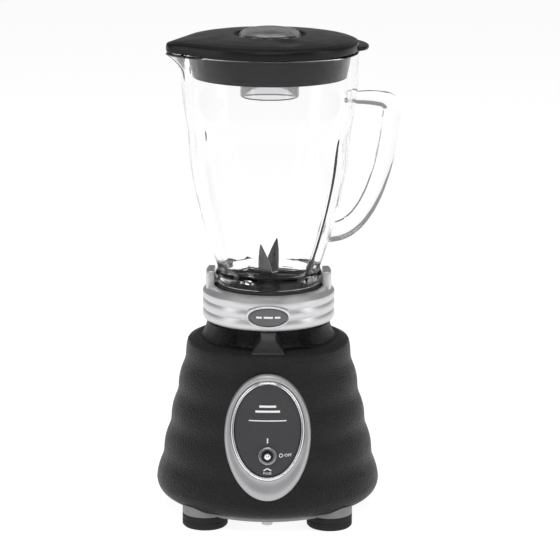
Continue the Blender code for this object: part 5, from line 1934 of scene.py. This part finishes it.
@dataclass
class Lid:
    """The black lid with its spout cover, plug and lift tab, and the clear filler cap."""

    turn: float = 16.0
    radius: float = 69.3
    tip_reach: float = 13.4
    tip_round: float = 13.0
    crown: float = 3.5
    plug_depth: float = 20.5
    hole: float = 24.4
    sleeve: float = 27.0
    tab_half: float = 29.0
    tab_stretch: float = 16.0
    cup_radius: float = 23.6

    def __post_init__(self) -> None:
        """Takes the lid's heights from the jar and the cap."""
        self.bottom = Span.of("glass_jar").high + 0.3
        self.top = self.bottom + 8.5
        self.cap = Span.of("filler_cap")

    def edge(self, angle: float) -> float:
        """Radius of the brim's outline at an angle from the spout, in degrees.

        Args:
            angle: the angle.

        Returns:
            The radius.
        """
        away = self.radius + self.tip_reach - self.tip_round
        tangent = math.acos((self.radius - self.tip_round) / away)
        across, along = self.tip_round * math.sin(tangent), self.tip_round * math.cos(tangent)
        start = math.atan2(across, away + along)
        turn = math.radians(abs(angle))
        if turn >= tangent:
            return self.radius
        if turn >= start:
            return self.radius / math.cos(tangent - turn)
        return away * math.cos(turn) + math.sqrt(self.tip_round**2 - (away * math.sin(turn)) ** 2)

    def drawn(self, point: Vector) -> Vector:
        """Draws the brim out over the spout, and presses a dimple on each side of the cap.

        Args:
            point: a vertex of the turned lid.

        Returns:
            Its new place.
        """
        radius = math.hypot(point.x, point.y)
        if radius < 1e-6:
            return point
        angle = math.degrees(math.atan2(point.y, point.x)) % 360.0 - 180.0
        height = point.z
        grown = 1.0
        if height > self.bottom - 0.1:
            share = smooth_step((radius - 50.0) / (self.radius - 2.0 - 50.0))
            grown = 1.0 + (self.edge(angle) / self.radius - 1.0) * share
        if height > self.top - 0.5:
            for side in (-1.0, 1.0):
                away = math.hypot(point.x / 11.0, (point.y - side * 43.0) / 15.0)
                height -= 1.6 * smooth_step(1.15 - away)
        return Vector((point.x * grown, point.y * grown, height))

    def build_lid(self) -> None:
        """Turns the lid, draws out its tip and adds the lift tab."""
        plug_top = self.radius - 5.6
        plug_low = self.bottom - self.plug_depth
        plug_bottom = plug_top - 3.1
        sleeve = self.sleeve
        shelf = self.top + 1.2
        outer = [
            (self.hole, shelf),
            (sleeve + 0.5, shelf),
            (sleeve + 1.6, self.top + self.crown),
            (sleeve + 5.0, self.top + self.crown),
            (self.radius - 22.0, self.top + 0.75 * self.crown),
            (self.radius - 12.0, self.top + 0.45 * self.crown),
            (self.radius - 5.0, self.top + 0.3),
            (self.radius - 0.6, self.top - 1.4),
            (self.radius, self.top - 3.2),
            (self.radius, self.bottom + 1.0),
            (self.radius - 1.0, self.bottom),
            (plug_top, self.bottom),
            (plug_top - 0.6, self.bottom - 3.0),
            (plug_bottom + 0.4, plug_low + 4.4),
            (plug_bottom, plug_low + 3.6),
            (plug_bottom - 0.3, plug_low),
            (plug_bottom - 2.6, plug_low),
            (plug_bottom - 2.6, self.top - 3.5),
            (sleeve, self.top - 3.5),
            (sleeve, shelf - 15.0),
            (self.hole, shelf - 15.0),
        ]
        profile: list[Point] = []
        for before, after in zip(outer, outer[1:] + outer[:1]):
            profile.append(before)
            if math.dist(before, after) > 9.0 and min(before[1], after[1]) > self.bottom:
                for share in (1 / 3, 2 / 3):
                    point = (mix(before[0], after[0], share), mix(before[1], after[1], share))
                    profile.append(point)
        lid = pulled(turned("lid_cover", eased(profile, 0.9, count=3), 180), self.drawn)
        place = (self.radius - 7.0, 0.0)
        tab = drum("lid_tab", self.tab_half, self.bottom, self.bottom + 3.0, place, 72)
        squeeze = (self.tab_stretch / self.tab_half, 1.0, 1.0)
        bpy.ops.transform.resize(value=squeeze, center_override=Vector((*place, self.bottom)) * MM)
        close_up(tab)
        soften(tab, 1.1)
        combine(lid, tab, "UNION")
        moved(lid, about_z(self.turn))
        seat(dress(lid, LID_BLACK), "lid", "lid_black", "lid")

    @staticmethod
    def bulge(radius: float, foot: float, rise: float, angles: Iterable[int]) -> list[Point]:
        """Points of a dome at angles from its crest, in degrees.

        Args:
            radius: the dome's radius at its foot.
            foot: height of its foot.
            rise: how high it stands.
            angles: the angles.

        Returns:
            The points in order.
        """
        turns = [math.radians(angle) for angle in angles]
        return [(radius * math.sin(turn), foot + rise * math.cos(turn)) for turn in turns]

    def build_cap(self) -> None:
        """Turns the filler cap: a low dome, a flange on the lid and a measuring cup below."""
        flange = self.top + 1.5
        crest = self.cap.high
        brow = flange + 2.0
        dome = self.bulge(self.cup_radius, brow, crest - brow, range(0, 90, 10))
        outer = [
            (self.cup_radius + 0.6, flange + 1.6),
            (self.cup_radius + 1.0, flange + 1.0),
            (self.cup_radius + 1.0, flange),
            (self.cup_radius, flange),
            (self.cup_radius - 0.6, self.cap.low + 0.8),
            (self.cup_radius - 1.3, self.cap.low),
            (self.cup_radius - 2.2, self.cap.low),
            (self.cup_radius - 2.8, self.cap.low + 0.8),
            (self.cup_radius - 2.2, flange - 1.0),
        ]
        hollow = crest - flange - 2.2
        inside = self.bulge(0.9 * self.cup_radius, flange - 0.6, hollow, range(75, -1, -15))
        cap = turned("filler_cap_cup", dome + eased(outer, 0.5, closed=False, count=3) + inside, 96)
        moved(cap, about_z(self.turn))
        seat(dress(cap, CLEAR_PLASTIC), "filler_cap", "clear_plastic", "filler_cap")

    def build(self) -> None:
        """Builds the lid and its filler cap."""
        self.build_lid()
        self.build_cap()


# ---------------------------------------------------------------- studio


@dataclass(frozen=True)
class Softbox:
    """A large soft lamp: where it stands, its size and its power."""

    name: str
    place: tuple[float, float, float]
    width: float
    height: float
    power: float


@dataclass
class Studio:
    """A plain pale floor, soft light and the camera."""

    camera_place: tuple[float, float, float] = (6.0, -2066.0, 672.0)
    camera_dip: float = 13.21
    camera_roll: float = -0.35
    lens: float = 172.2
    floor_half: float = 14.0
    aim_height: float = 0.2
    sky: float = 0.3
    floor_glow: float = 0.86

    def floor(self) -> None:
        """A wide pale floor."""
        only(None)
        bpy.ops.mesh.primitive_plane_add(size=2 * self.floor_half, location=(0.0, 0.0, 0.0))
        floor = bpy.context.object
        floor.name = "studio_floor"
        made = bpy.data.materials.new("floor_white")
        made.use_nodes = True
        shader = made.node_tree.nodes["Principled BSDF"]
        fill(
            shader,
            {
                "Base Color": (0.42, 0.42, 0.42, 1.0),
                "Emission Color": (1.0, 1.0, 1.0, 1.0),
                "Emission Strength": self.floor_glow,
                "Roughness": 0.9,
                "Specular IOR Level": 0.1,
            },
        )
        floor.data.materials.append(made)

    def world(self) -> None:
        """A bright even sky that fades a little overhead."""
        world = bpy.data.worlds.new("studio_sky")
        world.use_nodes = True
        tree = world.node_tree
        background = tree.nodes["Background"]
        where = add_node(tree, "TexCoord")
        split = add_node(tree, "SeparateXYZ")
        fades = {"From Min": 0.0, "From Max": 1.0, "To Min": self.sky, "To Max": 0.5 * self.sky}
        ramp = add_node(tree, "MapRange", fades)
        tree.links.new(where.outputs["Generated"], split.inputs["Vector"])
        tree.links.new(split.outputs["Z"], ramp.inputs["Value"])
        fill(background, {"Color": (1.0, 1.0, 1.0, 1.0)})
        tree.links.new(ramp.outputs["Result"], background.inputs["Strength"])
        bpy.context.scene.world = world

    def light(self, box: Softbox) -> None:
        """Adds one soft lamp, turned towards the middle of the object.

        Args:
            box: the lamp.
        """
        data = bpy.data.lights.new(box.name, "AREA")
        data.shape = "RECTANGLE"
        data.size = box.width
        data.size_y = box.height
        data.energy = box.power
        lamp = bpy.data.objects.new(box.name, data)
        lamp.location = box.place
        aim = Vector((0.0, 0.0, self.aim_height)) - Vector(box.place)
        lamp.rotation_euler = aim.to_track_quat("-Z", "Y").to_euler()
        bpy.context.scene.collection.objects.link(lamp)

    def camera(self) -> None:
        """The camera, level with a standing viewer's eye line."""
        data = bpy.data.cameras.new("studio_camera")
        data.lens = self.lens
        data.sensor_width = 36.0
        camera = bpy.data.objects.new("studio_camera", data)
        camera.location = Vector(self.camera_place) * MM
        tilt = math.radians(90.0 - self.camera_dip)
        camera.rotation_euler = (tilt, math.radians(self.camera_roll), 0.0)
        bpy.context.scene.collection.objects.link(camera)
        bpy.context.scene.camera = camera

    def build(self) -> None:
        """Builds the floor, the light and the camera."""
        self.floor()
        self.world()
        for box in (
            Softbox("left_softbox", (-1.5, -0.5, 0.9), 0.5, 1.6, 6.0),
            Softbox("right_softbox", (1.5, -0.4, 0.9), 0.5, 1.6, 6.0),
            Softbox("top_softbox", (0.0, 0.2, 1.9), 1.6, 0.8, 7.0),
            Softbox("front_softbox", (0.0, -1.6, 1.7), 1.5, 0.6, 17.0),
        ):
            self.light(box)
        self.camera()
        bpy.context.scene.view_settings.view_transform = "Standard"


def main() -> None:
    """Builds every sub-assembly over the CAD frame, then the studio."""
    logging.basicConfig(level=logging.INFO, format="%(message)s")
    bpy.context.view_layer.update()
    base = MotorBase()
    base.build()
    Motor().build()
    Collar().build()
    ControlPanel(base).build()
    BladeUnit().build()
    Jar().build()
    Lid().build()
    Studio().build()


if __name__ == "__main__":
    main()
